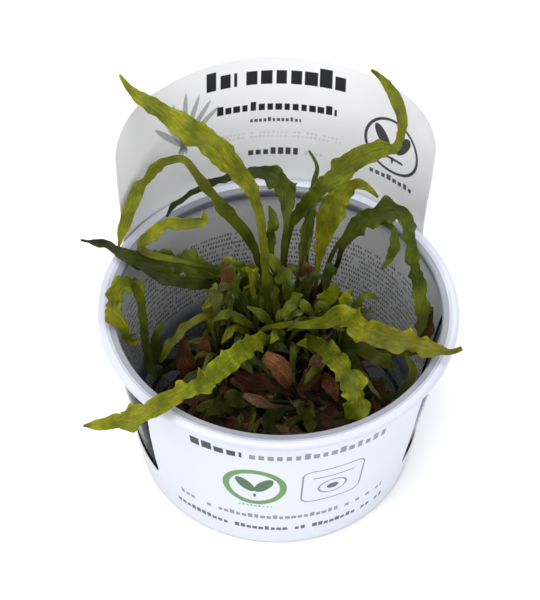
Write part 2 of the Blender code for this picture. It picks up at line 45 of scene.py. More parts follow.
# ---- driving dimensions, millimetres ----
TAPER = 0.139          # how much every wall radius grows per millimetre of height
CUP_R0 = 37.9          # cup wall, outside radius at the table
CUP_WALL = 0.8
CUP_FLOOR = 0.9
RIM_R = 47.5           # rolled rim, outside radius
RIM_TOP = 55.25
LIP_R = 43.0           # inside radius of the rim's turned-in lip
GEL_TOP = 11.6
GAP = 0.3              # room left between pieces that touch
CARD_T = 0.4
CARD_R0 = 38.4         # card, middle of its thickness at the table
PANEL_TOP = 52.2       # front panel, just under the rim
PANEL_HALF = (51.4, 54.6)   # half angle of the front panel at its top and low down, degrees
NOTCH_Z = 12.2         # floor of the two side notches
SIDE_HALF = 92.0       # half angle of the card behind the notches, degrees from the back
SIDE_TOP = 51.2        # its top edge, tucked under the rim
BACK_R = 48.25         # arched back, radius as it passes the rim
BACK_LEAN = 0.045      # its lean inwards, mm per mm
BACK_TOP = 100.0
BLADE_T = 0.5
CROWN_TOP = 16.8
CROWN_R = 3.3
RING_R = 2.4           # the petioles stand on this ring of the crown
BASE_Z = 17.7          # where the petioles start
VIEW_UP = np.array((0.0, -0.67, 0.74))   # blades turn their upper face this way

# ---- the plantlets: name, (x, y) of the short rhizome ----
CROWNS = {
    "a": (-3.5, 8.0), "b": (4.0, 9.5), "c": (-8.5, 13.5), "d": (-14.0, 5.5),
    "e": (-1.5, -0.5), "f": (11.0, 13.0), "g": (15.0, 3.5), "h": (6.0, -4.0),
}

# ---- the leaves: name, crown, then the midrib as (x, y, z, half width) ----
LEAVES = [
    ("leaf_tall_left", "a", [(0, 10, 30, 0.8), (-2, 11, 44, 1.1), (-3, 11, 57, 1.3), (-4, 13, 70, 1.3), (-6, 15, 80, 1.6), (-10, 16, 87, 2.5), (-16, 18, 94, 3.3), (-24, 21, 99, 3), (-31, 24, 103, 1.9), (-36, 27, 105, 1.2), (-39, 30, 108, 0.3)]),
    ("leaf_arch_left", "a", [(-1, 12, 34, 0.8), (-3, 17, 48, 1.1), (-7, 21, 58, 1.5), (-14, 23, 68, 1.7), (-20, 26, 76, 1.2), (-24, 30, 79, 1), (-29, 30, 78, 1.2), (-35, 28, 74, 1.5), (-39, 24, 69, 1.8), (-41, 20, 64, 1.4), (-42, 18, 59, 0.3)]),
    ("leaf_fold_back", "b", [(2, 12, 38, 0.8), (2, 18, 54, 1), (4, 20, 65, 1.2), (4, 22, 71, 2.6), (1, 26, 74, 2.9), (-3, 28, 75.5, 2.1), (-8, 28, 75, 1.2), (-16, 28, 72.5, 1.1), (-22, 27, 69.5, 0.8), (-27, 26, 66, 0.7), (-29, 25, 63, 0.3)]),
    ("leaf_upcurl_left", "c", [(-4, 14, 36, 0.8), (-12, 16, 48, 0.8), (-24, 15, 55, 0.8), (-36, 17, 59, 1.2), (-33, 19, 62.5, 1.6), (-29, 20, 65, 1.5), (-23, 19, 66, 1.5), (-19, 19, 67, 1.2), (-19, 20, 69.5, 0.3)]),
    ("leaf_broad_left", "c", [(-3, 14, 32, 1.1), (-10, 15, 43, 2.2), (-18, 16, 49, 3.1), (-26, 17, 53, 3.7), (-34, 15, 56, 2.9), (-40, 15, 59, 1.8), (-45, 18, 60, 1.1), (-48, 18, 61, 0.8), (-52, 19, 61, 0.3)]),
    ("leaf_dark_left", "c", [(-5, 15, 38, 0.8), (-10, 15, 45, 1.4), (-19, 12, 50, 1.6), (-28, 10, 54, 1.6), (-34, 11, 57, 1.3), (-38, 13, 58, 0.3)]),
    ("leaf_loop_left", "d", [(-23.5, 10, 24, 0.9), (-31, 2, 26, 1.1), (-34.5, -2, 31, 1.3), (-35.5, 0, 38, 1.3), (-36, 3, 46, 1.3), (-36.5, 5, 53, 1.4), (-38, 5.5, 58, 1.9), (-41, 3, 60, 2.1), (-43, -2, 60, 2.1), (-43, -6, 58.6, 2.1), (-40.6, -7.3, 53.5, 1.5), (-39, -6, 48, 1), (-36.5, -3, 45, 0.3)]),
    ("leaf_drop_left", "d", [(-22, 10, 22, 0.9), (-28, 5.5, 24, 1.6), (-32, 3.5, 29, 1.8), (-33, 5.5, 36, 1.3), (-31, 7, 40, 0.4)]),
    ("leaf_front_left", "e", [(-2, 5, 32, 1.1), (-5, -3, 44, 2.1), (-10, -12, 50, 2.6), (-15, -20, 54, 2.8), (-21, -29, 58, 2.5), (-27, -34, 60, 2.2), (-33, -39, 61, 2.4), (-39, -41, 60, 2.2), (-45, -40, 57, 1.5), (-50, -38, 54, 0.3)]),
    ("leaf_long_right", "e", [(-4, 6, 37, 0.9), (1, 4, 42, 1.1), (7, -1, 47, 1.3), (12, -4, 51, 1.7), (16, -5, 55, 2.8), (20, -12, 58, 3.1), (26, -17, 59.5, 3.1), (33, -20, 60, 2.7), (38, -22, 60, 1.8), (42, -23, 60, 0.8), (45, -22, 60, 0.6)]),
    ("leaf_front_right", "e", [(7, 5, 34, 1.1), (11, -4, 42, 2), (14, -12, 46, 2.6), (16.5, -19, 48, 2.8), (18.5, -23, 46, 3.2), (18.5, -26, 42, 3.2), (16.5, -26, 38, 0.5)]),
    ("leaf_tall_right", "b", [(3, 12, 34, 0.8), (2, 14, 52, 1.1), (3, 14, 68, 1.4), (6, 13, 78, 1.7), (12, 12, 86, 2.3), (18, 13, 92, 2.8), (24, 13, 96, 2.3), (29, 12, 98, 1.4), (31, 17, 99, 1.1), (31, 20, 101, 1.4), (30, 24, 103, 1.6), (28, 27, 105, 1.2), (24, 30, 108, 0.3)]),
    ("leaf_thin_back", "f", [(6, 13, 45, 0.5), (9, 19, 70, 0.8), (10, 23, 77, 0.8), (11, 25, 80, 0.5), (9, 28, 83, 0.3)]),
    ("leaf_bright_right", "f", [(9, 12, 38, 0.8), (12, 19, 50, 1.1), (13, 21, 58, 2.2), (15, 22, 66, 3.5), (18, 24, 71, 2.9), (21, 24, 74, 1.6), (24, 22, 75, 1.1), (27, 20, 73, 0.3)]),
    ("leaf_arch_right", "f", [(8, 15, 34, 0.9), (11, 15, 43, 0.9), (15, 15.5, 52, 0.9), (18, 16, 59, 1.2), (21, 17, 64.5, 2.2), (25, 17, 68.5, 2.7), (29, 16.5, 71, 2.9), (33, 16, 71, 2.1), (35, 12, 66, 1.7), (36, 9, 60, 1.8), (38, 6, 53, 1.9), (39, 2, 46, 1.9), (38, -1, 40, 0.3)]),
    ("leaf_slip_right", "f", [(13, 18, 44, 0.8), (18, 20, 58, 0.8), (26, 19, 65, 0.8), (31, 14, 67, 0.9), (31, 11, 64, 1.3), (30, 10, 60, 1.1), (28, 9, 57, 0.3)]),
    ("leaf_low_left", "d", [(-10, 12.5, 35, 1), (-15, 10.5, 40, 1.1), (-21, 7.5, 41, 1.1), (-26, 5, 39, 1.2), (-30, 1, 36, 1.1), (-32, 0, 32, 0.4)]),
    ("leaf_inner_a", "b", [(3, 14, 24, 0.9), (1, 13, 46, 1.1), (0, 14, 60, 1.3), (0, 16, 69, 1.6), (-2, 17, 74, 0.3)]),
    ("leaf_inner_b", "f", [(7, 12, 30, 0.8), (7, 14, 50, 1.1), (7, 18, 62, 1.9), (8, 20, 69, 1.6), (6, 21, 73, 0.3)]),
    ("leaf_inner_c", "f", [(10, 12, 25, 0.8), (9, 16, 38, 1.1), (9, 19, 50, 1.1), (10, 22, 60, 1.1), (11, 25, 66, 0.3)]),
    ("leaf_inner_d", "b", [(5, 11, 29, 0.8), (3, 10.5, 43, 1.4), (2, 12.5, 51, 1.9), (-1, 13.5, 57, 1.9), (-4, 14, 60, 0.3)]),
    ("leaf_inner_e", "a", [(-2, 12, 28, 0.8), (-5, 13, 40, 1.1), (-6, 15, 48, 1.6), (-10, 15, 53, 1.6), (-14, 15, 55, 0.3)]),
    ("leaf_mid_left", "d", [(-4, 12, 34, 0.8), (-9, 13, 42, 1.6), (-15, 11, 46, 2.2), (-20, 9, 44, 0.5)]),
    ("leaf_small_a", "d", [(-5, 8, 32, 0.8), (-9, 7, 40, 1.4), (-14, 6, 44, 1.4), (-18, 5, 42, 0.3)]),
    ("leaf_small_b", "e", [(3, 8, 31, 0.8), (7, 6.5, 38.5, 1.6), (12, 2.5, 43.5, 1.6), (18, -0.5, 43.5, 0.3)]),
    ("leaf_small_c", "e", [(0, 8, 28, 0.8), (-2, 7, 38, 1.4), (-4, 7, 43, 1.6), (-8, 8, 45, 0.3)]),
    ("leaf_small_d", "b", [(3, 9, 34, 0.8), (2, 8, 42, 1.6), (4, 7, 48, 1.9), (7, 7, 50, 0.3)]),
    ("leaf_flap_right", "f", [(9, 11, 34, 0.8), (12, 9, 44, 1.4), (15, 8, 49, 2.2), (16, 9, 52, 0.5)]),
    ("leaf_wall_right", "g", [(16, 9, 24, 0.8), (30, 0, 32, 1.1), (41, -1, 36, 1.4), (43, 1, 43, 1.6), (42, 3, 48, 0.3)]),
    ("leaf_low_right_a", "g", [(15, 7, 26, 1.1), (22, 3, 32, 1.9), (28, -1, 32, 1.9), (33, -1, 28, 0.3)]),
    ("leaf_low_right_b", "g", [(16, 6, 18, 0.6), (25, -3, 20, 0.8), (32, -8, 24, 1.1), (37, -5, 30, 1.1), (35, -1, 34, 0.3)]),
    ("leaf_low_front_left", "h", [(-4, -4, 19, 1.3), (-12, -6, 22, 2.2), (-17, -10, 24, 2.2), (-20, -13, 25, 0.3)]),
    ("leaf_low_front", "h", [(7, -8, 20, 1.8), (8, -13, 22.5, 2.2), (8, -17, 24, 1.6), (8, -20, 24, 0.4)]),
    ("leaf_low_front_mid", "h", [(1, -8, 19, 1.4), (-3, -13, 21, 1.9), (-2, -17, 22.5, 1.2), (1, -20, 22.5, 0.4)]),
    ("leaf_small_e", "c", [(-3.5, 17, 34, 0.8), (-8, 15.5, 42, 1.5), (-13, 13.5, 45, 2.1), (-17.5, 10.5, 45, 1.5), (-20, 8.5, 44, 0.3)]),
    ("leaf_small_f", "a", [(-4, 10.5, 32, 0.8), (-8.5, 11, 37, 1.4), (-12.5, 10, 40, 1.6), (-15.5, 10, 41, 0.3)]),
    ("leaf_small_g", "a", [(-1.5, 10.5, 32, 0.8), (1.5, 9.5, 38, 1.5), (5, 8.5, 42, 1.7), (7.5, 6.5, 44, 0.3)]),
    ("leaf_small_h", "a", [(-2, 12, 38, 0.8), (-2.5, 11.5, 44, 1.5), (-1, 12.5, 48, 1.6), (1, 13.5, 49, 0.3)]),
    ("leaf_small_i", "g", [(8, 6, 30, 0.9), (10, 5.5, 34, 1.6), (12, 3.5, 36, 1.2), (14, 3.5, 37, 0.3)]),
    ("dead_leaf_left_red", "d", [(-21.5, 7, 19, 1.4), (-23.5, 3, 24, 2.3), (-25.5, 3, 31, 2.4), (-25, 5, 35, 0.9)]),
    ("dead_leaf_left_tan", "d", [(-18, 6.5, 20.5, 1.0), (-19.5, 5, 24, 1.8), (-20, 5.5, 30, 1.9), (-19.5, 7, 34, 0.7)]),
    ("dead_leaf_curled", "h", [(4.5, -0.5, 19.5, 1.2), (3, -0.5, 23, 2.3), (0, 0.5, 29, 2.8), (-3.5, 2, 32, 1.5)]),
    ("dead_leaf_rolled", "e", [(-5.5, -1, 19.3, 1.2), (-9, 0, 21, 1.9), (-13, 2, 21, 0.6)]),
    ("dead_leaf_loop", "h", [(6.5, -1.5, 19, 1.1), (9, -1.5, 25, 2), (11, -1, 31, 2.1), (13, 0.5, 34, 0.8)]),
    ("dead_leaf_fold", "g", [(10.5, -1, 19, 1.1), (12.5, 0, 23, 1.8), (15, -4.5, 24, 1.8), (16.5, -7, 21, 0.5)]),
    ("dead_leaf_front", "h", [(-1, -6.5, 19, 1), (-4, -6, 20, 1.4), (-7.5, -4.5, 21, 1.4), (-9.5, -3.5, 21, 0.4)]),
    ("dead_leaf_back", "f", [(7, 14.5, 32, 1), (8, 15, 39, 1.7), (9, 15.5, 46, 2), (10, 16.5, 51, 0.8)]),
    ("dead_leaf_across", "h", [(2, -2, 19, 1.2), (-2.5, -1, 21.5, 2.3), (-7.5, -0.5, 24, 2.6), (-12, 1, 25, 0.7)]),
]


def wall_in(z):
    return CUP_R0 - CUP_WALL + TAPER * z


def smooth(t):
    t = min(1.0, max(0.0, t))
    return t * t * (3 - 2 * t)


def card_radius(u_deg, z):
    """Middle surface of the card. At the back it swells out to pass outside the rim, then stands up."""
    cone = CARD_R0 + TAPER * z
    back = 1.0 - smooth((abs(u_deg) - 62.0) / 14.0)
    stand = BACK_R - BACK_LEAN * max(0.0, z - RIM_TOP)
    t = smooth((z - 46.5) / 6.0) * back
    return cone * (1 - t) + stand * t


# ---- midribs ----
def spline(points, count):
    """Centripetal Catmull-Rom through the control points, read at even arc length. Columns: x, y, z, half width."""
    p = np.asarray(points, float)
    ends = np.vstack((2 * p[0] - p[1], p, 2 * p[-1] - p[-2]))
    fine = []
    for i in range(1, len(ends) - 2):
        quad = ends[i - 1:i + 3]
        gaps = np.maximum(np.linalg.norm(np.diff(quad[:, :3], axis=0), axis=1), 1e-6) ** 0.5
        t0 = 0.0
        t1, t2, t3 = np.cumsum(gaps)
        t = np.linspace(t1, t2, 12, endpoint=False)[:, None]
        a1 = (t1 - t) / (t1 - t0) * quad[0] + (t - t0) / (t1 - t0) * quad[1]
        a2 = (t2 - t) / (t2 - t1) * quad[1] + (t - t1) / (t2 - t1) * quad[2]
        a3 = (t3 - t) / (t3 - t2) * quad[2] + (t - t2) / (t3 - t2) * quad[3]
        b1 = (t2 - t) / (t2 - t0) * a1 + (t - t0) / (t2 - t0) * a2
        b2 = (t3 - t) / (t3 - t1) * a2 + (t - t1) / (t3 - t1) * a3
        fine.append((t2 - t) / (t2 - t1) * b1 + (t - t1) / (t2 - t1) * b2)
    fine = np.vstack(fine + [p[-1:]])
    run = np.concatenate(([0.0], np.cumsum(np.linalg.norm(np.diff(fine[:, :3], axis=0), axis=1))))
    at = np.linspace(0.0, run[-1], count)
    out = np.stack([np.interp(at, run, fine[:, k]) for k in range(fine.shape[1])], axis=1)
    return out, run[-1]


def frames(path):
    """Tangent, sideways and upper-face directions along a path."""
    tangent = np.gradient(path[:, :3], axis=0)
    tangent /= np.linalg.norm(tangent, axis=1)[:, None]
    side = np.cross(tangent, VIEW_UP)
    size = np.linalg.norm(side, axis=1)
    if size.min() > 0.25:
        side /= size[:, None]
        if (side[1:] * side[:-1]).sum(axis=1).min() > 0:
            return tangent, side, np.cross(side, tangent)
    for i in range(len(side)):
        if size[i] < 0.25 and i:
            side[i] = side[i - 1]
        side[i] -= tangent[i] * (side[i] @ tangent[i])
        side[i] /= np.linalg.norm(side[i])
        if i and side[i] @ side[i - 1] < 0:
            side[i] = -side[i]
    return tangent, side, np.cross(side, tangent)


def rooted():
    """Control points of every leaf, each started from its own place on the ring of its crown."""
    out = []
    for crown, (cx, cy) in CROWNS.items():
        own = []
        for name, at, points in LEAVES:
            if at == crown:
                rest = [p for p in points if p[2] > BASE_Z + 1.0]
                own.append((math.atan2(rest[0][1] - cy, rest[0][0] - cx), name, rest))
        own.sort()
        turn = [a - 2 * math.pi * k / len(own) for k, (a, _, _) in enumerate(own)]
        first = math.atan2(sum(map(math.sin, turn)), sum(map(math.cos, turn)))
        for k, (_, name, rest) in enumerate(own):
            angle = first + 2 * math.pi * k / len(own)
            base = (cx + RING_R * math.cos(angle), cy + RING_R * math.sin(angle), BASE_Z, 0.5)
            rise = (base[0] * 0.8 + rest[0][0] * 0.2, base[1] * 0.8 + rest[0][1] * 0.2, BASE_Z + max(1.2, 0.3 * (rest[0][2] - BASE_Z)), 0.6)
            if rest[0][2] - BASE_Z < 4.0:
                out.append([name, np.array([base] + rest, float)])
            else:
                out.append([name, np.array([base, rise] + rest, float)])
    out.sort(key=lambda item: item[0])
    return out


def samples(points):
    """Points spread over a blade, with the control points that carry each: (places, lower control point, share)."""
    run = np.concatenate(([0.0], np.cumsum(np.linalg.norm(np.diff(points[:, :3], axis=0), axis=1))))
    count = int(max(12, run[-1] / 1.35))
    path, _ = spline(points, count)
    _, side, _ = frames(path)
    knot = np.interp(np.linspace(0.0, run[-1], count), run, np.arange(len(points)))
    place, at = [], []
    for s in (-0.97, -0.5, 0.0, 0.5, 0.97):
        keep = path[:, 3] > (0.0 if s == 0.0 else 1.5 if abs(s) == 0.5 else 0.4)
        place.append((path[:, :3] + side * s * path[:, 3:4])[keep])
        at.append(knot[keep])
    at = np.concatenate(at)
    low = np.minimum(at.astype(int), len(points) - 2)
    return np.vstack(place), low, at - low


def spread_apart(leaves, rounds=220, room=1.3):
    """Moves control points until no two blades are nearer than the room they need, and none meets the cup or the card."""
    depth = np.array((0.0, 0.67, -0.74))
    order = {}
    crowns = np.array(list(CROWNS.values()))
    for step in range(rounds):
        cloud = [samples(points) for _, points in leaves]
        push = [np.zeros((len(points), 3)) for _, points in leaves]
        load = [np.zeros(len(points)) for _, points in leaves]
        worst = 0.0

        def shove(i, which, move):
            low, share = cloud[i][1][which], cloud[i][2][which]
            for at, w in ((low, 1 - share), (low + 1, share)):
                np.add.at(push[i], at, move * w[:, None])
                np.add.at(load[i], at, w)

        lows = np.array([c[0].min(axis=0) for c in cloud]) - room
        highs = np.array([c[0].max(axis=0) for c in cloud])
        for i in range(len(leaves)):
            for j in range(i + 1, len(leaves)):
                if (lows[i] > highs[j]).any() or (lows[j] > highs[i]).any():
                    continue
                a, b = cloud[i][0], cloud[j][0]
                ia = np.nonzero(((a > lows[j]) & (a < highs[j] + room)).all(axis=1))[0]
                ib = np.nonzero(((b > lows[i]) & (b < highs[i] + room)).all(axis=1))[0]
                if not len(ia) or not len(ib):
                    continue
                gap = a[ia][:, None] - b[ib][None]
                far = np.sqrt((gap ** 2).sum(axis=2))
                early = (cloud[i][1][ia] == 0)[:, None] & (cloud[j][1][ib] == 0)[None]
                need = np.where(early, 0.85, room)
                hit = np.nonzero(far < need)
                if not len(hit[0]):
                    continue
                d = np.maximum(far[hit], 1e-6)
                away = gap[hit] / d[:, None]
                if (i, j) not in order:
                    order[i, j] = 1.0 if (away @ depth).sum() >= 0 else -1.0
                away = away + 1.1 * order[i, j] * depth
                away /= np.linalg.norm(away, axis=1)[:, None] + 1e-9
                short = (need[hit] - d)[:, None]
                worst = max(worst, float(short.max()))
                shove(i, ia[hit[0]], away * short * 0.6)
                shove(j, ib[hit[1]], -away * short * 0.6)
        for i in range(len(leaves)):
            p = cloud[i][0]
            r = np.hypot(p[:, 0], p[:, 1])
            outward = np.column_stack((p[:, 0], p[:, 1], np.zeros(len(p)))) / np.maximum(r, 1e-6)[:, None]
            z = p[:, 2]
            over = r - wall_in(z) + 0.9
            hit = np.nonzero((z < 52.5) & (over > 0) & (over < 6))[0]
            shove(i, hit, -outward[hit] * over[hit][:, None])
            hit = np.nonzero((z >= 52.5) & (z < RIM_TOP + 1.1) & (r > 43.4) & (r < RIM_R + 1.0))[0]
            lift = np.where(z[hit] > 53.6, RIM_TOP + 1.1 - z[hit], 0.0)
            shove(i, hit, np.column_stack((0 * lift, 0 * lift, lift)) - outward[hit] * np.where(lift > 0, 0.0, r[hit] - 43.4)[:, None])
            u = np.abs(np.degrees(np.arctan2(p[:, 0], p[:, 1])))
            near = np.nonzero((u < 66) & (z > 50) & (z < BACK_TOP + 1.5) & (r > 44))[0]
            over = np.array([r[k] - card_radius(u[k], z[k]) + 1.2 for k in near])
            if len(near):
                near, over = near[over > 0], over[over > 0]
                shove(i, near, -outward[near] * over[:, None])
            hit = np.nonzero((z < GEL_TOP + 1.2))[0]
            shove(i, hit, np.column_stack((0 * hit, 0 * hit, GEL_TOP + 1.2 - z[hit])))
            off = p[:, None, :2] - crowns[None]
            span = np.sqrt((off ** 2).sum(axis=2))
            hit = np.nonzero((span < CROWN_R + 0.8) & (z < CROWN_TOP + 0.8)[:, None] & (cloud[i][1] > 0)[:, None])
            if len(hit[0]):
                flat = off[hit] / np.maximum(span[hit], 1e-6)[:, None] * (CROWN_R + 0.8 - span[hit])[:, None]
                shove(i, hit[0], np.column_stack((flat, 0.5 * (CROWN_TOP + 0.8 - z[hit[0]]))))
        for (_, points), moved, share in zip(leaves, push, load):
            moved[0] = 0.0
            points[:, :3] += moved / np.maximum(share, 1.0)[:, None]
        if worst < 0.16:
            break
    return leaves



# ---- camera: the photograph's angle ----
def look():
    aim, far, high, round_, roll = np.array((-2.3, 0.0, 56.0)), 400.0, math.radians(47.8), math.radians(-3.75), math.radians(1.15)
    ahead = np.array((-math.sin(round_) * math.cos(high), math.cos(round_) * math.cos(high), -math.sin(high)))
    right = np.array((math.cos(round_), math.sin(round_), 0.0))
    up = np.cross(right, ahead)
    x = math.cos(roll) * right + math.sin(roll) * up
    y = -math.sin(roll) * right + math.cos(roll) * up
    place = (aim - far * ahead) * MM
    made = bpy.data.cameras.new("camera")
    made.sensor_width = 36.0
    made.lens = 91.5
    made.clip_start, made.clip_end = 0.01, 20.0
    cam = bpy.data.objects.new("camera", made)
    cam.matrix_world = Matrix(((x[0], y[0], -ahead[0], place[0]), (x[1], y[1], -ahead[1], place[1]), (x[2], y[2], -ahead[2], place[2]), (0, 0, 0, 1)))
    bpy.context.scene.collection.objects.link(cam)
    bpy.context.scene.camera = cam


look()
scene = bpy.context.scene
scene.view_settings.view_transform = "Standard"
scene.view_settings.look = "None"
scene.view_settings.exposure = 0.0


# ---- node helpers ----
class Tree:
    """A short hand for building shader node trees."""

    def __init__(self, name):
        self.mat = bpy.data.materials.new(name)
        self.mat.use_nodes = True
        self.nt = self.mat.node_tree
        self.shader = self.nt.nodes["Principled BSDF"]

    def node(self, kind, **props):
        made = self.nt.nodes.new(kind)
        for key, value in props.items():
            setattr(made, key, value)
        return made

    def plug(self, socket, value):
        if hasattr(value, "is_output") or hasattr(value, "links"):
            self.nt.links.new(value, socket)
        elif isinstance(value, (tuple, list)) and len(value) == 3 and socket.type == "RGBA":
            socket.default_value = (*value, 1.0)
        else:
            socket.default_value = value

    def math(self, op, a, b=None, c=None, clamp=False):
        made = self.node("ShaderNodeMath", operation=op, use_clamp=clamp)
        for k, v in enumerate((a, b, c)):
            if v is not None:
                self.plug(made.inputs[k], v)
        return made.outputs[0]

    def mix(self, share, a, b, kind="MIX"):
        made = self.node("ShaderNodeMix", data_type="RGBA", blend_type=kind)
        self.plug(made.inputs[0], share)
        self.plug(made.inputs[6], a)
        self.plug(made.inputs[7], b)
        return made.outputs[2]

    def ramp(self, value, stops):
        made = self.node("ShaderNodeValToRGB")
        self.plug(made.inputs[0], value)
        ramp = made.color_ramp
        while len(ramp.elements) < len(stops):
            ramp.elements.new(0.5)
        for element, (at, colour) in zip(ramp.elements, stops):
            element.position = at
            element.color = (*colour, 1.0) if isinstance(colour, (tuple, list)) else (colour, colour, colour, 1.0)
        return made.outputs[0]

    def noise(self, vector, scale, detail=3.0, rough=0.5, kind="3D"):
        made = self.node("ShaderNodeTexNoise", noise_dimensions=kind)
        if vector is not None:
            self.plug(made.inputs["Vector"], vector)
        made.inputs["Scale"].default_value = scale
        made.inputs["Detail"].default_value = detail
        made.inputs["Roughness"].default_value = rough
        return made.outputs[0]

    def split(self, vector):
        made = self.node("ShaderNodeSeparateXYZ")
        self.plug(made.inputs[0], vector)
        return made.outputs

    def join(self, x, y, z=0.0):
        made = self.node("ShaderNodeCombineXYZ")
        for k, v in enumerate((x, y, z)):
            self.plug(made.inputs[k], v)
        return made.outputs[0]

    def uv(self, name):
        return self.node("ShaderNodeUVMap", uv_map=name).outputs[0]

    def place(self):
        return self.node("ShaderNodeTexCoord").outputs["Object"]

    def bump(self, height, strength, distance):
        made = self.node("ShaderNodeBump")
        made.inputs["Strength"].default_value = strength
        made.inputs["Distance"].default_value = distance
        self.plug(made.inputs["Height"], height)
        return made.outputs[0]

    def set(self, **values):
        for key, value in values.items():
            self.plug(self.shader.inputs[key.replace("_", " ")], value)
        return self.mat


def leaf_material(name, dead=False):
    t = Tree(name)
    uv = t.split(t.uv("blade"))
    across, along = uv[0], uv[1]
    tint = t.node("ShaderNodeAttribute", attribute_name="tint", attribute_type="GEOMETRY").outputs["Color"]
    rib = t.math("ABSOLUTE", across)
    where = t.place()
    cloudy = t.noise(where, 210.0, 4.0, 0.6)
    fine = t.noise(where, 1300.0, 3.0, 0.6)
    # veins run lengthwise; faint side veins leave the midrib at a slant
    grain = t.noise(t.join(t.math("MULTIPLY", across, 3.2), t.math("MULTIPLY", along, 0.16), 0.0), 2.2, 3.0, 0.6)
    slant = t.math("SUBTRACT", along, t.math("MULTIPLY", rib, 3.2))
    wobble = t.math("MULTIPLY", t.noise(where, 380.0, 2.0), 3.2)
    vein = t.math("SINE", t.math("MULTIPLY", t.math("ADD", slant, wobble), 2.3))
    vein = t.math("POWER", t.math("MULTIPLY", t.math("ADD", vein, 1.0), 0.5), 5.0)
    mid = t.math("SUBTRACT", 1.0, t.math("DIVIDE", rib, 0.12), clamp=True)
    if dead:
        colour = t.mix(t.ramp(cloudy, [(0.32, 0.0), (0.66, 1.0)]), t.mix(1.0, tint, (0.5, 0.48, 0.5), "MULTIPLY"), t.mix(1.0, tint, (1.55, 1.45, 1.3), "MULTIPLY"))
        colour = t.mix(t.math("MULTIPLY", t.ramp(fine, [(0.45, 0.0), (0.62, 1.0)]), 0.5), colour, t.mix(1.0, tint, (0.35, 0.3, 0.28), "MULTIPLY"))
        colour = t.mix(t.math("MULTIPLY", t.ramp(grain, [(0.42, 0.0), (0.58, 1.0)]), 0.65), colour, t.mix(1.0, tint, (0.32, 0.28, 0.28), "MULTIPLY"))
    else:
        colour = t.mix(t.ramp(cloudy, [(0.34, 0.0), (0.66, 1.0)]), t.mix(1.0, tint, (0.50, 0.58, 0.52), "MULTIPLY"), t.mix(1.0, tint, (1.42, 1.34, 1.0), "MULTIPLY"))
        colour = t.mix(t.math("MULTIPLY", t.ramp(grain, [(0.42, 0.0), (0.60, 1.0)]), 0.58), colour, t.mix(1.0, tint, (0.44, 0.50, 0.42), "MULTIPLY"))
        colour = t.mix(t.math("MULTIPLY", vein, 0.10), colour, t.mix(1.0, tint, (0.5, 0.56, 0.5), "MULTIPLY"))
        colour = t.mix(t.math("MULTIPLY", mid, 0.42), colour, t.mix(1.0, tint, (0.72, 0.62, 0.60), "MULTIPLY"))
        colour = t.mix(t.math("MULTIPLY", t.ramp(fine, [(0.58, 0.0), (0.74, 1.0)]), 0.3), colour, t.mix(1.0, tint, (0.6, 0.5, 0.45), "MULTIPLY"))
    height = t.math("ADD", t.math("MULTIPLY", vein, -0.22), t.math("MULTIPLY", fine, 0.55))
    height = t.math("ADD", height, t.math("MULTIPLY", grain, 0.8))
    height = t.math("SUBTRACT", height, t.math("MULTIPLY", mid, 0.6))
    rough = t.math("ADD", t.math("MULTIPLY", cloudy, 0.34), 0.40 if dead else 0.27)
    t.set(Base_Color=colour, Roughness=rough, Normal=t.bump(height, 0.5, 0.0002))
    t.set(Subsurface_Weight=0.10, Subsurface_Scale=0.0006, Specular_IOR_Level=0.10)
    t.shader.inputs["Subsurface Radius"].default_value = (0.8, 1.0, 0.2)
    if dead:
        t.set(Specular_IOR_Level=0.12)
    return t.mat


def smoothstep(a, b, x):
    t = np.clip((x - a) / (b - a), 0.0, 1.0)
    return t * t * (3 - 2 * t)


def wave_noise(x, seed, period):
    """A smooth random curve over x, mostly in -1..1."""
    rng = np.random.default_rng(seed)
    total = np.zeros_like(x)
    for k in range(5):
        total += rng.uniform(0.4, 1.0) * np.sin(2 * math.pi * x / (period * rng.uniform(0.62, 1.7)) + rng.uniform(0, 2 * math.pi))
    return total / 2.3


class Heap:
    """Several closed shells gathered in one mesh."""

    def __init__(self):
        self.verts, self.faces, self.uvs, self.tints, self.count = [], [], [], [], 0

    def add(self, verts, faces, uvs, tints):
        start = self.count
        self.verts.append(np.asarray(verts, float))
        self.faces += [tuple(i + start for i in f) for f in faces]
        self.uvs.append(np.asarray(uvs, float))
        self.tints.append(np.asarray(tints, float))
        self.count += len(verts)

    def piece(self, name, mat):
        """A mesh object in metres, every shell turned to face out."""
        mesh = bpy.data.meshes.new(name)
        verts = np.vstack(self.verts) * MM
        mesh.from_pydata(verts.tolist(), [], self.faces)
        mesh.materials.append(mat)
        loops = np.zeros(len(mesh.loops), int)
        mesh.loops.foreach_get("vertex_index", loops)
        mesh.uv_layers.new(name="blade").data.foreach_set("uv", np.vstack(self.uvs).astype(np.float32)[loops].ravel())
        paint = mesh.color_attributes.new("tint", "FLOAT_COLOR", "POINT")
        data = np.ones((len(verts), 4), np.float32)
        data[:, :3] = np.vstack(self.tints)
        paint.data.foreach_set("color", data.ravel())
        work = bmesh.new()
        work.from_mesh(mesh)
        bmesh.ops.recalc_face_normals(work, faces=work.faces[:])
        work.to_mesh(mesh)
        work.free()
        mesh.polygons.foreach_set("use_smooth", np.ones(len(mesh.polygons), bool))
        mesh.update()
        thing = bpy.data.objects.new(name, mesh)
        bpy.context.scene.collection.objects.link(thing)
        return thing


# ---- leaf colours, linear RGB ----
BRIGHT = np.array((0.215, 0.212, 0.008))
OLIVE = np.array((0.130, 0.138, 0.006))
GREEN = np.array((0.060, 0.075, 0.006))
DEEP = np.array((0.022, 0.028, 0.004))
PALE = np.array((0.240, 0.270, 0.075))
WINE = np.array((0.045, 0.016, 0.008))
BROWN = np.array((0.060, 0.027, 0.011))
ORANGE = np.array((0.215, 0.098, 0.042))
RED = np.array((0.050, 0.013, 0.007))
TAN = np.array((0.190, 0.105, 0.055))
DARK = np.array((0.018, 0.011, 0.006))

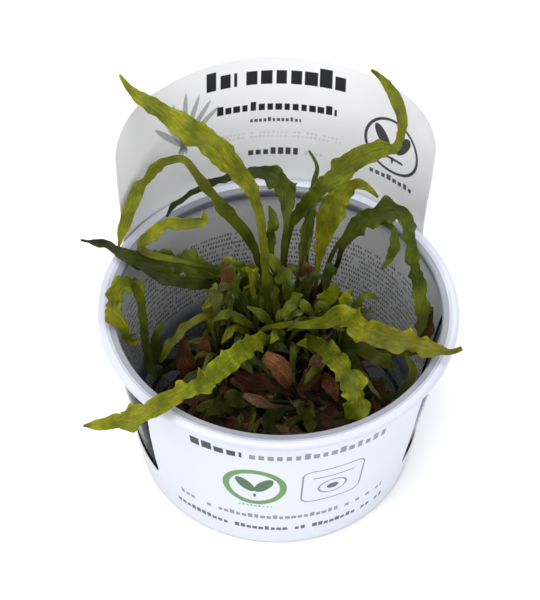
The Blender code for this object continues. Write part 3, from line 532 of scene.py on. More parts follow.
# name: (petiole colour, blade colour, tip colour, ruffle, scallop, fold: how far the margins stand up, seed)
LOOKS = {
    "leaf_tall_left": (DEEP, OLIVE, OLIVE * 1.15, 0.16, 0.15, 0.10, 11),
    "leaf_arch_left": (DEEP, GREEN, OLIVE, 0.20, 0.20, 0.25, 12),
    "leaf_fold_back": (DEEP, GREEN * 0.9, DEEP, 0.42, 0.22, 0.30, 13),
    "leaf_upcurl_left": (DEEP, GREEN, OLIVE * 1.1, 0.18, 0.12, 0.35, 14),
    "leaf_broad_left": (DEEP, GREEN * 1.35, DEEP, 0.30, 0.20, 0.20, 15),
    "leaf_dark_left": (DEEP, DEEP, DEEP, 0.20, 0.12, 0.20, 16),
    "leaf_loop_left": (DEEP, GREEN, OLIVE, 0.34, 0.34, 0.20, 17),
    "leaf_drop_left": (DEEP, DEEP, GREEN, 0.25, 0.15, 0.20, 18),
    "leaf_front_left": (GREEN, OLIVE * 0.75 + GREEN * 0.75, OLIVE * 1.2 + BROWN * 0.2, 0.34, 0.24, 0.12, 19),
    "leaf_long_right": (OLIVE * 0.7, OLIVE, OLIVE * 0.8 + BROWN * 0.3, 0.34, 0.22, 0.26, 20),
    "leaf_front_right": (GREEN, OLIVE * 0.35 + GREEN * 0.6, OLIVE * 1.15, 0.46, 0.24, 0.24, 21),
    "leaf_tall_right": (DEEP, GREEN * 1.1, OLIVE * 0.9, 0.20, 0.18, 0.14, 22),
    "leaf_thin_back": (DEEP, DEEP, GREEN, 0.15, 0.10, 0.0, 23),
    "leaf_bright_right": (WINE, BRIGHT, OLIVE, 0.20, 0.14, 0.34, 24),
    "leaf_arch_right": (DARK, GREEN * 0.62, GREEN * 1.15, 0.22, 0.24, 0.34, 25),
    "leaf_slip_right": (DEEP, GREEN, GREEN, 0.20, 0.14, 0.20, 26),
    "leaf_inner_c": (WINE, WINE, BROWN, 0.15, 0.08, 0.1, 27),
    "leaf_wall_right": (BROWN, GREEN, BROWN, 0.20, 0.12, 0.2, 28),
    "leaf_low_left": (GREEN, OLIVE * 0.75 + BROWN * 0.3, OLIVE * 0.8, 0.30, 0.20, 0.3, 29),
    "leaf_small_e": (GREEN, OLIVE * 1.2, OLIVE, 0.40, 0.25, 0.2, 41),
    "leaf_small_f": (GREEN, OLIVE * 0.8 + PALE * 0.3, PALE * 0.7, 0.40, 0.25, 0.2, 42),
    "leaf_small_g": (GREEN, OLIVE, PALE * 0.8, 0.45, 0.30, 0.2, 43),
    "leaf_small_i": (GREEN, PALE * 0.7, TAN * 0.8, 0.45, 0.30, 0.3, 44),
    "leaf_low_front": (DEEP, GREEN * 0.8, OLIVE * 0.5, 0.35, 0.25, 0.2, 45),
    "leaf_low_front_mid": (DEEP, GREEN * 0.6, DEEP, 0.35, 0.25, 0.2, 46),
    "leaf_low_front_left": (DEEP, GREEN * 0.9, OLIVE * 0.6, 0.30, 0.22, 0.2, 47),
    "dead_leaf_left_red": (RED, RED, BROWN, 0.12, 0.10, 0.25, 31),
    "dead_leaf_left_tan": (BROWN, BROWN * 1.2, ORANGE * 0.5, 0.16, 0.10, 0.25, 32),
    "dead_leaf_curled": (RED, ORANGE * 0.45, ORANGE * 1.1, 0.12, 0.10, -0.45, 33),
    "dead_leaf_rolled": (BROWN, BROWN, ORANGE * 0.6, 0.20, 0.12, -0.3, 34),
    "dead_leaf_loop": (BROWN, BROWN * 1.3, TAN * 0.5, 0.20, 0.12, 0.3, 35),
    "dead_leaf_fold": (RED, BROWN * 1.2, ORANGE * 0.6, 0.20, 0.12, -0.3, 36),
    "dead_leaf_front": (BROWN, TAN * 0.7, TAN * 1.1, 0.34, 0.24, 0.5, 37),
    "dead_leaf_back": (RED, BROWN * 1.2, ORANGE * 0.7, 0.20, 0.12, 0.35, 38),
    "dead_leaf_across": (RED, BROWN * 1.1, RED, 0.12, 0.10, -0.40, 39),
}


def blade(points, look_, step=0.5, cols=13, painted_shade_keep=1.0):
    """A closed, ruffled blade on a midrib: round at the stalk, thin at the margins. Millimetres."""
    foot, body, tip, ruffle, scallop, fold, seed = look_
    _, length = spline(points, 8)
    rows = int(max(14, length / step))
    path, _ = spline(points, rows)
    tangent, side, up = frames(path)
    run = np.linspace(0.0, length, rows)
    share = run / length
    wide = path[:, 3]
    stalk = (1.0 - smoothstep(0.9, 1.5, wide)) * (1.0 - smoothstep(0.55, 0.8, share))
    leafy = (1.0 - stalk)[:, None]
    s = np.linspace(-1.0, 1.0, cols)[None, :]
    bell = np.abs(s)
    left = s < 0
    growing = (0.65 + 0.55 * smoothstep(0.35, 0.75, share))[:, None]
    calm = growing * np.clip(0.65 + 0.8 * wave_noise(run, seed * 11 + 9, 15.0), 0.18, 1.3)[:, None]

    def margins(number, long, short):
        a, b = (0.8 * wave_noise(run, seed * 97 + number + k, long) + 0.30 * wave_noise(run, seed * 97 + number + k + 5, short) for k in (0, 1))
        return np.where(left, a[:, None], b[:, None])

    out = margins(0, 7.4, 2.9)
    rise = margins(30, 6.4, 3.1)
    curl = wave_noise(run, seed * 7 + 3, 17.0)[:, None] * 0.22
    w = np.maximum(0.16, wide)[:, None] * (1.0 + leafy * calm * bell ** 1.6 * scallop * 2.1 * out) * (1.0 - 0.22 * (1.0 - smoothstep(1.0, 1.7, wide)) * (share < 0.6))[:, None]
    lift = leafy * wide[:, None] * (calm * ruffle * 1.5 * bell ** 1.7 * rise + fold * (bell ** 1.2 - 0.35) + curl * s * 0.6)
    middle = path[:, None, :3] + side[:, None] * (s * w)[..., None] + up[:, None] * lift[..., None]
    thick = (0.14 + 0.15 * (1 - bell) + 0.30 * np.exp(-(bell / 0.15) ** 2)) * (0.55 + 0.45 * np.minimum(1.0, wide / 1.6))[:, None]
    round_ = np.maximum(0.1, 1.24 * np.minimum(wide, 0.85)[:, None] * np.sqrt(np.maximum(0.0, 1 - bell ** 2)))
    thick = thick * leafy + round_ * (1 - leafy)
    shift = up[:, None] * (thick * 0.5)[..., None]
    verts = np.concatenate(((middle + shift).reshape(-1, 3), (middle - shift).reshape(-1, 3)))
    uv = np.stack(np.broadcast_arrays(s + 0 * run[:, None], run[:, None]), axis=-1).reshape(-1, 2)
    low = np.maximum(smoothstep(0.34, 0.52, share), smoothstep(0.06, 0.22, share) * smoothstep(0.95, 1.7, wide))[:, None]
    high = smoothstep(0.45, 0.92, share)[:, None]
    colour = foot * (1 - low) + body * low
    colour = colour * (1 - high) + tip * high
    patch = 0.30 * wave_noise(run, seed * 7 + 4, 13.0)
    streak = 0.30 * wave_noise(s[0] * 9.0 + 40.0, seed * 5 + 2, 4.0)[None, :] * wave_noise(run, seed * 5 + 1, 14.0)[:, None]
    # painted shade: the tint darkens towards the bottom of the cup, keeping the given share of its brightness below 20
    # mm height and all of it above 58 mm
    painted_depth_shade = (painted_shade_keep + (1.0 - painted_shade_keep) * smoothstep(20.0, 58.0, path[:, 2]))[:, None]
    shade = (1.0 + patch[:, None] + 0.20 * out * bell + streak + smoothstep(0.80, 1.0, bell) * 0.34 * leafy) * painted_depth_shade
    tint = np.clip(colour[:, None] * shade[..., None], 0.002, 0.8).reshape(-1, 3)
    n = rows * cols
    faces = []
    for i in range(rows - 1):
        for j in range(cols - 1):
            a = i * cols + j
            faces.append((a, a + 1, a + cols + 1, a + cols))
            faces.append((n + a, n + a + cols, n + a + cols + 1, n + a + 1))
        for a, b in ((i * cols, (i + 1) * cols), ((i + 1) * cols + cols - 1, i * cols + cols - 1)):
            faces.append((a, b, n + b, n + a))
    for j in range(cols - 1):
        faces.append((j + 1, j, n + j, n + j + 1))
        a = (rows - 1) * cols + j
        faces.append((a, a + 1, n + a + 1, n + a))
    return verts, faces, np.vstack((uv, uv)), np.vstack((tint, tint))


green_mat = leaf_material("leaf_green")
dead_mat = leaf_material("leaf_dead", dead=True)

placed = dict((name, points) for name, points in spread_apart(rooted()))
taken = []
for number, (name, points) in enumerate(sorted(placed.items())):
    dead = name.startswith("dead")
    default = (DEEP, GREEN, OLIVE * 0.9, 0.28, 0.18, 0.2, 60 + number)
    if "small" in name or "mid_" in name or "inner" in name:
        points = points * np.array((1.0, 1.0, 1.0, 0.80))
        default = (DEEP, GREEN * 0.8, GREEN * 1.3, 0.46, 0.30, 0.3, 60 + number)
    # painted shade low in the cup: green leaves keep 0.42 of their brightness there, dead ones 0.9
    shell = blade(points, LOOKS.get(name, default), painted_shade_keep=0.9 if dead else 0.42)
    taken.append(shell[0][::7])
    heap = Heap()
    heap.add(*shell)
    piece = heap.piece(name + "_blade", dead_mat if dead else green_mat)
    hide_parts(name)
    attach(piece, "root")


# ---- crowns, with the stubs of old leaves ----
def tube(path, radii, ring=8):
    """Vertices and faces of a closed tube along a path, in millimetres."""
    path = np.asarray(path, float)
    radii = np.asarray(radii, float)
    tangent = np.gradient(path, axis=0)
    tangent /= np.linalg.norm(tangent, axis=1)[:, None] + 1e-12
    normal = np.cross(tangent[0], (0.31, 0.83, 0.46))
    normal /= np.linalg.norm(normal)
    verts, faces = [], []
    for i in range(len(path)):
        normal = normal - tangent[i] * (normal @ tangent[i])
        normal /= np.linalg.norm(normal)
        other = np.cross(tangent[i], normal)
        for k in range(ring):
            a = 2 * math.pi * k / ring
            verts.append(path[i] + radii[i] * (math.cos(a) * normal + math.sin(a) * other))
    for i in range(len(path) - 1):
        for k in range(ring):
            a, b = i * ring + k, i * ring + (k + 1) % ring
            faces.append((a, b, b + ring, a + ring))
    faces.append(tuple(reversed(range(ring))))
    faces.append(tuple((len(path) - 1) * ring + k for k in range(ring)))
    return np.array(verts), faces


def crown_material():
    t = Tree("rhizome")
    where = t.place()
    tint = t.node("ShaderNodeAttribute", attribute_name="tint", attribute_type="GEOMETRY").outputs["Color"]
    rough = t.noise(where, 700.0, 5.0, 0.65)
    colour = t.mix(t.ramp(rough, [(0.35, 0.0), (0.65, 1.0)]), t.mix(1.0, tint, (0.45, 0.4, 0.4), "MULTIPLY"), t.mix(1.0, tint, (1.35, 1.3, 1.2), "MULTIPLY"))
    t.set(Base_Color=colour, Roughness=t.math("ADD", t.math("MULTIPLY", rough, 0.4), 0.35), Normal=t.bump(rough, 0.7, 0.0005))
    return t.mat


def even(verts, colour):
    return np.zeros((len(verts), 2)), np.tile(np.asarray(colour, float), (len(verts), 1))


crown_mat = crown_material()
for number, (name, (cx, cy)) in enumerate(sorted(CROWNS.items())):
    rng = np.random.default_rng(400 + number)
    heap = Heap()
    levels = 14
    heights = np.linspace(GEL_TOP - 2.2, CROWN_TOP + 0.2, levels)
    lean = rng.uniform(-0.25, 0.25, 2)
    centre = [(cx + lean[0] * math.sin(k * 0.6), cy + lean[1] * math.cos(k * 0.5), z) for k, z in enumerate(heights)]
    radii = [1.0 + 1.9 * math.sin(math.pi * min(1.0, 0.15 + 0.75 * k / (levels - 1))) + 0.22 * math.sin(k * 2.4) for k in range(levels)]
    v, f = tube(centre, radii, 24)
    v = v + 0.18 * np.stack((np.sin(7 * v[:, 2] + 3 * v[:, 0]), np.sin(6 * v[:, 2] + 3 * v[:, 1]), 0 * v[:, 2]), axis=1)
    heap.add(v, f, *even(v, GREEN * 0.45 + BROWN * 0.45))
    for k in range(9):        # sheaths and stubs round the crown
        a = rng.uniform(0, 2 * math.pi)
        r0 = rng.uniform(1.6, 2.7)
        tall = rng.uniform(1.5, 5.0)
        bend = rng.uniform(-1.2, 1.2)
        path = [(cx + (r0 + tall * 0.22 * s) * math.cos(a + bend * 0.2 * s), cy + (r0 + tall * 0.22 * s) * math.sin(a + bend * 0.2 * s), CROWN_TOP - 2.5 + (tall + 1.5) * s) for s in np.linspace(0, 1, 7)]
        v, f = tube(path, [0.55 * (1 - 0.75 * s) + 0.05 for s in np.linspace(0, 1, 7)], 7)
        heap.add(v, f, *even(v, (BROWN * 0.8, TAN * 0.5, GREEN * 0.7)[k % 3]))
        taken.append(v[::3])
    piece = heap.piece("crown_" + name + "_stock", crown_mat)
    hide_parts("crown_" + name)
    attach(piece, "root")


# ---- roots in and on the gel ----
rng = np.random.default_rng(77)
heap = Heap()
for name, (cx, cy) in sorted(CROWNS.items()):
    for k in range(15):
        a = rng.uniform(0, 2 * math.pi)
        reach = rng.uniform(8, 26)
        wob = rng.uniform(-1, 1, 4)
        depth = rng.uniform(2.2, 9.0) if k % 3 else rng.uniform(-0.2, 0.6)
        path = []
        for s in np.linspace(0, 1, 22):
            r = 1.6 + reach * s
            b = a + 0.5 * wob[0] * math.sin(2.2 * s * math.pi) + 0.25 * wob[1] * math.sin(6 * s)
            x, y = cx + r * math.cos(b), cy + r * math.sin(b)
            z = GEL_TOP - 0.3 - depth * (1 - (1 - s) ** 2) + 0.8 * wob[2] * math.sin(5 * s) * (1 if k % 3 else 0.35)
            rr = math.hypot(x, y)
            if rr > 35.2:
                x, y = x * 35.2 / rr, y * 35.2 / rr
            path.append((x, y, max(1.9, z)))
        v, f = tube(path, [0.42 * (1 - 0.6 * s) for s in np.linspace(0, 1, 22)], 6)
        heap.add(v, f, *even(v, np.array((0.30, 0.235, 0.14)) * rng.uniform(0.25, 0.9)))
roots = heap.piece("roots", crown_mat)
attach(roots, "root")


# ---- scraps of decayed leaf on the gel and tiny leaflets among the petioles ----
def tree_of(groups):
    points = np.vstack(groups)
    tree = kdtree.KDTree(len(points))
    for i, p in enumerate(points):
        tree.insert(p, i)
    tree.balance()
    return tree


def clear_of(tree, verts, room):
    return all(tree.find(p)[2] > room for p in verts[::3])


near = tree_of(taken)
rng = np.random.default_rng(911)
scraps = Heap()
made, tried = 0, 0
placed_scraps = []
while made < 210 and tried < 2600:
    tried += 1
    r, a = 30.0 * math.sqrt(rng.uniform(0, 1)), rng.uniform(0, 2 * math.pi)
    x, y = 0.5 + r * math.cos(a) * 1.02, -4.0 + r * math.sin(a) * 0.98
    if math.hypot(x, y) > 33.0:
        continue
    long, wide, turn = rng.uniform(5, 15), rng.uniform(0.9, 2.6), rng.uniform(0, 2 * math.pi)
    rise, bow = rng.uniform(0.2, 2.6), rng.uniform(-0.45, 0.45)
    base = GEL_TOP + 0.75 + 0.30 * wide * 0.8 + rng.uniform(0, 1) ** 2 * 3.4
    pts = []
    for s in (0.0, 0.25, 0.5, 0.75, 1.0):
        b = turn + bow * (s - 0.5) * 2.4
        px, py = x + long * (s - 0.5) * math.cos(b), y + long * (s - 0.5) * math.sin(b)
        pts.append((px, py, base + rise * math.sin(math.pi * s) * 0.8 + rng.uniform(0, 0.5), wide * (0.35, 0.9, 1.0, 0.8, 0.25)[int(s * 4)]))
    if max(math.hypot(p[0], p[1]) for p in pts) > 34.0:
        continue
    tone = (DARK, BROWN * 0.7, RED * 0.7, DARK, BROWN * 0.5, ORANGE * 0.3, GREEN * 0.6, TAN * 0.4, DARK * 0.8, OLIVE * 0.5, GREEN, DEEP)[int(rng.integers(12))]
    other = (BROWN * 0.6, DARK, ORANGE * 0.3, RED * 0.6)[int(rng.integers(4))]
    shell = blade(pts, (tone, tone * 1.1, other, rng.uniform(0.15, 0.5), 0.25, rng.uniform(-0.6, 0.6), 2000 + tried), 0.7, 7)
    if shell[0][:, 2].min() < GEL_TOP + 0.12 or not clear_of(near, shell[0], 0.55):
        continue
    scraps.add(*shell)
    made += 1
scraps_piece = scraps.piece("leaf_scraps", dead_mat)
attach(scraps_piece, "root")
print("scraps", made, "of", tried)

rng = np.random.default_rng(523)
tufts = Heap()
made, tried = 0, 0
names = sorted(CROWNS)
while made < 110 and tried < 5200:
    tried += 1
    name = names[int(rng.integers(len(names)))]
    cx, cy = CROWNS[name]
    a = rng.uniform(0, 2 * math.pi)
    if name in "eh" and (math.sin(a) < 0.3 or rng.uniform(0, 1) < 0.7):
        continue
    upright = made < 34 and tried < 3000
    if upright and name in "eh":
        continue
    out_, tall = rng.uniform(6, 18), rng.uniform(6, 12 if name in "eh" else 26)
    wide = rng.uniform(0.7, 1.7)
    if upright:
        out_, tall, wide = rng.uniform(2.0, 12.0), rng.uniform(26, 44), rng.uniform(0.8, 1.7)
    start = np.array((cx + 2.0 * math.cos(a), cy + 2.0 * math.sin(a), CROWN_TOP - 0.4))
    bend = rng.uniform(-0.5, 0.5)
    droop = rng.uniform(0.0, 0.25 if upright else 0.7) * tall
    pts = []
    for k, s in enumerate((0.0, 0.22, 0.45, 0.7, 1.0)):
        b = a + bend * s
        pts.append((start[0] + out_ * s ** 1.5 * math.cos(b), start[1] + out_ * s ** 1.5 * math.sin(b), start[2] + tall * math.sin(0.5 * math.pi * min(1.0, s * 1.3)) - droop * s ** 3, (0.45, 0.5, 0.75 * wide, wide, 0.2)[k]))
    if min(p[2] for p in pts) < GEL_TOP + 2.5 or max(math.hypot(p[0], p[1]) for p in pts) > 33.0:
        continue
    if upright and out_ * math.sin(a) < -3.0 or pts[-1][1] < -7.0 and abs(pts[-1][0]) < 19.0:
        continue
    tone = (GREEN * 0.8, OLIVE * 0.7, GREEN * 0.6, DEEP, GREEN * 0.7, OLIVE * 0.8, DEEP * 1.4, PALE * 0.3, GREEN, BROWN)[int(rng.integers(10))]
    foot = (DEEP, WINE, BROWN, DEEP)[int(rng.integers(4))]
    # the last argument is the share of brightness kept under the painted shade low in the cup
    shell = blade(pts, (foot, tone, tone * 1.35, rng.uniform(0.25, 0.5), 0.30, rng.uniform(0.0, 0.4), 5000 + tried), 0.65, 7, 0.6)
    half = len(shell[0]) // 2
    if not clear_of(near, shell[0][int(half * (0.42 if upright else 0.34)):half], 0.15 if upright else 0.26):
        continue
    tufts.add(*shell)
    taken.append(shell[0][::5])
    near = tree_of(taken)
    made += 1
tufts_piece = tufts.piece("young_leaflets", green_mat)
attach(tufts_piece, "root")
print("leaflets", made, "of", tried)


# ---- turned pieces ----
def turned(name, profile, steps, mats, which=None):
    """A closed profile in (radius, height) millimetres turned about Z, ending down its outer side. The ends lie on the axis."""
    verts, faces = [], []
    inner = profile[1:-1]
    verts.append((0, 0, profile[0][1]))
    for r, z in inner:
        for k in range(steps):
            a = 2 * math.pi * k / steps
            verts.append((r * math.cos(a), r * math.sin(a), z))
    verts.append((0, 0, profile[-1][1]))
    last = len(verts) - 1
    for k in range(steps):
        n = (k + 1) % steps
        faces.append((0, 1 + k, 1 + n))
        for i in range(len(inner) - 1):
            a, b = 1 + i * steps + k, 1 + i * steps + n
            faces.append((a, a + steps, b + steps, b))
        faces.append((1 + (len(inner) - 1) * steps + k, last, 1 + (len(inner) - 1) * steps + n))
    mesh = bpy.data.meshes.new(name)
    mesh.from_pydata((np.array(verts) * MM).tolist(), [], faces)
    for mat in mats:
        mesh.materials.append(mat)
    work = bmesh.new()
    work.from_mesh(mesh)
    bmesh.ops.recalc_face_normals(work, faces=work.faces[:])
    work.to_mesh(mesh)
    work.free()
    for poly in mesh.polygons:
        poly.use_smooth = True
        if which:
            x, y, z = poly.center
            poly.material_index = which(math.hypot(x, y) / MM, z / MM)
    mesh.update()
    made = bpy.data.objects.new(name, mesh)
    bpy.context.scene.collection.objects.link(made)
    return made


def rounded(points, radius, steps=4):
    """Rounds the corners of an open profile."""
    out = [points[0]]
    for a, b, c in zip(points, points[1:], points[2:]):
        a, b, c = map(np.array, (a, b, c))
        u, v = a - b, c - b
        r = min(radius, 0.45 * np.linalg.norm(u), 0.45 * np.linalg.norm(v))
        u, v = u / np.linalg.norm(u), v / np.linalg.norm(v)
        if abs(u @ v) > 0.9995:
            out.append(tuple(b))
            continue
        for s in np.linspace(0, 1, steps + 1):
            p = (1 - s) ** 2 * (b + u * r) + 2 * s * (1 - s) * b + s ** 2 * (b + v * r)
            out.append(tuple(p))
    out.append(points[-1])
    return out


def clear_material(name, tint, rough, ior, bumps=0.0):
    t = Tree(name)
    t.set(Base_Color=tint, Transmission_Weight=1.0, IOR=ior, Roughness=rough)
    if bumps:
        wave = t.noise(t.place(), 55.0, 2.0)
        t.set(Normal=t.bump(wave, bumps, 0.0006))
    return t.mat


def rim_material(name, low, high):
    t = Tree(name)
    where = t.place()
    soft = t.noise(where, 45.0, 3.0)
    fine = t.noise(where, 900.0, 2.0)
    t.set(Base_Color=t.ramp(soft, [(0.3, low), (0.7, high)]), Roughness=t.math("ADD", t.math("MULTIPLY", fine, 0.12), 0.24), Normal=t.bump(fine, 0.05, 0.00005))
    t.set(Subsurface_Weight=0.2, Subsurface_Scale=0.002, IOR=1.49)
    t.shader.inputs["Subsurface Radius"].default_value = (1.0, 1.0, 1.1)
    return t.mat


def shaded_window_material():
    """The bare wall in the two side notches: clear, tinted dark grey as painted shade for the shaded inside seen
    through it.
    """
    t = Tree("window_plastic_painted_shade")
    soft = t.noise(t.place(), 60.0, 2.0)
    t.set(Base_Color=t.ramp(soft, [(0.3, (0.27, 0.27, 0.28)), (0.7, (0.38, 0.38, 0.39))]), Transmission_Weight=1.0, IOR=1.02, Roughness=0.03)
    return t.mat


cup_mat = clear_material("clear_plastic", (0.965, 0.972, 0.982), 0.05, 1.49, 0.05)
rim_mat = rim_material("rim_plastic", (0.50, 0.515, 0.585), (0.56, 0.57, 0.64))
# painted shade: the rim's turned-in lip, inside 44.9 mm, gets a much darker copy of the rim plastic all the way round
lip_painted_shade_mat = rim_material("lip_plastic_painted_shade", (0.20, 0.205, 0.24), (0.26, 0.265, 0.30))
cup = turned("cup_clear", rounded([
    (0.0, CUP_FLOOR), (36.2, CUP_FLOOR), (wall_in(2.2), 2.2), (wall_in(28.0), 28.0), (wall_in(50.6), 50.6),
    (LIP_R + 0.1, 53.1), (LIP_R, 54.2), (LIP_R + 0.35, 54.75), (44.6, 54.65), (45.1, 54.75), (45.7, RIM_TOP), (46.7, RIM_TOP), (47.3, 54.9), (RIM_R, 54.3), (RIM_R, 53.7),
    (47.1, 53.1), (46.3, 52.95), (CUP_R0 + TAPER * 52.4 + 0.12, 52.4), (CUP_R0 + TAPER * 28.0, 28.0),
    (CUP_R0 + TAPER * 2.6, 2.6), (37.5, 0.7), (36.6, 0.0), (0.0, 0.0),
], 0.7), 144, [cup_mat, rim_mat, lip_painted_shade_mat], lambda r, z: (2 if r < 44.9 else 1) if z > 52.0 or (z > 51.2 and r < wall_in(z) + 0.3) else 0)
cup.data.materials.append(shaded_window_material())
# painted shade: the wall in the side notches, from a degree inside the card's edges, gets the dark-tinted window
# plastic
for poly in cup.data.polygons:
    x, y, z = (c / MM for c in poly.center)
    turn = abs(math.degrees(math.atan2(x, y)))
    if poly.material_index == 0 and SIDE_HALF - 1.0 < turn < 180 - PANEL_HALF[0] + 0.6 and math.hypot(x, y) > 34.0 and 3.0 < z < 52.0:
        poly.material_index = 3
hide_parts("cup")
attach(cup, "root")

# painted shade: the clear gel is given a dark blue-grey tint so that the bottom of the cup looks shaded
gel_painted_shade_mat = clear_material("nutrient_gel", (0.30, 0.335, 0.37), 0.08, 1.34, 0.25)
gel = turned("gel", rounded([
    (0.0, GEL_TOP - 0.1), (18.0, GEL_TOP - 0.05), (33.0, GEL_TOP), (36.6, GEL_TOP + 0.25), (wall_in(GEL_TOP) - 0.5, GEL_TOP + 1.1),
    (wall_in(GEL_TOP) - 0.32, GEL_TOP + 0.9), (wall_in(3.2) - 0.32, 3.2), (36.7, 1.9), (35.6, 1.25), (0.0, 1.2),
], 0.6), 96, [gel_painted_shade_mat])
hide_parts("nutrient_gel")
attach(gel, "root")


# ---- card sleeve ----
def blank_outline():
    """Right half of the blank as (angle from the back in degrees, height), from the top middle down to the foot."""
    def deg(arc):
        return math.degrees(arc / 48.0)
    pts = [(deg(a), BACK_TOP - 1.4 * (a / 31.0) ** 2) for a in np.linspace(0.0, 31.0, 12)]
    mid, side, low, high = 34.0, 51.9, 87.0, BACK_TOP - 1.4 * (34.0 / 31.0) ** 2
    for k in range(0, 25):
        t = math.radians(90 - 90 * k / 24)
        pts.append((deg(mid + (side - mid) * max(0.0, math.cos(t)) ** (2 / 2.3)), low + (high - low) * max(0.0, math.sin(t)) ** (2 / 2.3)))
    pts += [(deg(51.1), 76.0), (deg(49.9), 66.0), (deg(49.2), 57.0), (deg(49.1), SIDE_TOP + 2.2), (deg(49.5), SIDE_TOP + 0.8), (deg(50.4), SIDE_TOP)]
    pts += [(SIDE_HALF - 3.0, SIDE_TOP), (SIDE_HALF - 0.8, SIDE_TOP - 0.8), (SIDE_HALF, SIDE_TOP - 2.6), (SIDE_HALF, NOTCH_Z + 3.2)]
    for k in range(1, 8):
        t = math.radians(180 + 90 * k / 8)
        pts.append((SIDE_HALF + 4.0 + 4.0 * math.cos(t), NOTCH_Z + 3.2 + 3.2 * math.sin(t)))
    pts.append((SIDE_HALF + 4.0, NOTCH_Z))
    low_edge, top_edge = 180 - PANEL_HALF[1], 180 - PANEL_HALF[0]
    for k in range(0, 8):
        t = math.radians(270 + 90 * k / 8)
        pts.append((low_edge - 4.0 + 4.0 * math.cos(t), NOTCH_Z + 3.2 + 3.2 * math.sin(t)))
    pts += [(low_edge, NOTCH_Z + 3.2), (low_edge, 21.0), (low_edge + 1.2, 33.0), (top_edge - 0.6, 41.0), (top_edge, PANEL_TOP - 1.0), (top_edge + 1.2, PANEL_TOP)]
    pts += [(180.0, PANEL_TOP), (180.0, 0.4)]
    return pts


def card_sheet():
    """The blank as arrays: (angle, height) of every point, and faces."""
    work = bmesh.new()
    half = blank_outline()
    loop = [(u, z) for u, z in half] + [(-u, z) for u, z in reversed(half) if u > 1e-6]
    work.faces.new([work.verts.new((u, 0.0, z)) for u, z in loop])
    for u in np.arange(-177.5, 180.0, 2.5):
        bmesh.ops.bisect_plane(work, geom=work.verts[:] + work.edges[:] + work.faces[:], dist=1e-4, plane_co=(u, 0, 0), plane_no=(1, 0, 0))
    for z in [8, 16, 24, 32, 40, 44, 46.5] + list(np.arange(47.25, 54.0, 0.75)) + [55.25, 60, 68, 76, 84, 92]:
        bmesh.ops.bisect_plane(work, geom=work.verts[:] + work.edges[:] + work.faces[:], dist=1e-4, plane_co=(0, 0, z), plane_no=(0, 0, 1))
    work.verts.index_update()
    points = np.array([(v.co.x, v.co.z) for v in work.verts])
    faces = [tuple(v.index for v in f.verts) for f in work.faces]
    work.free()
    return points, faces


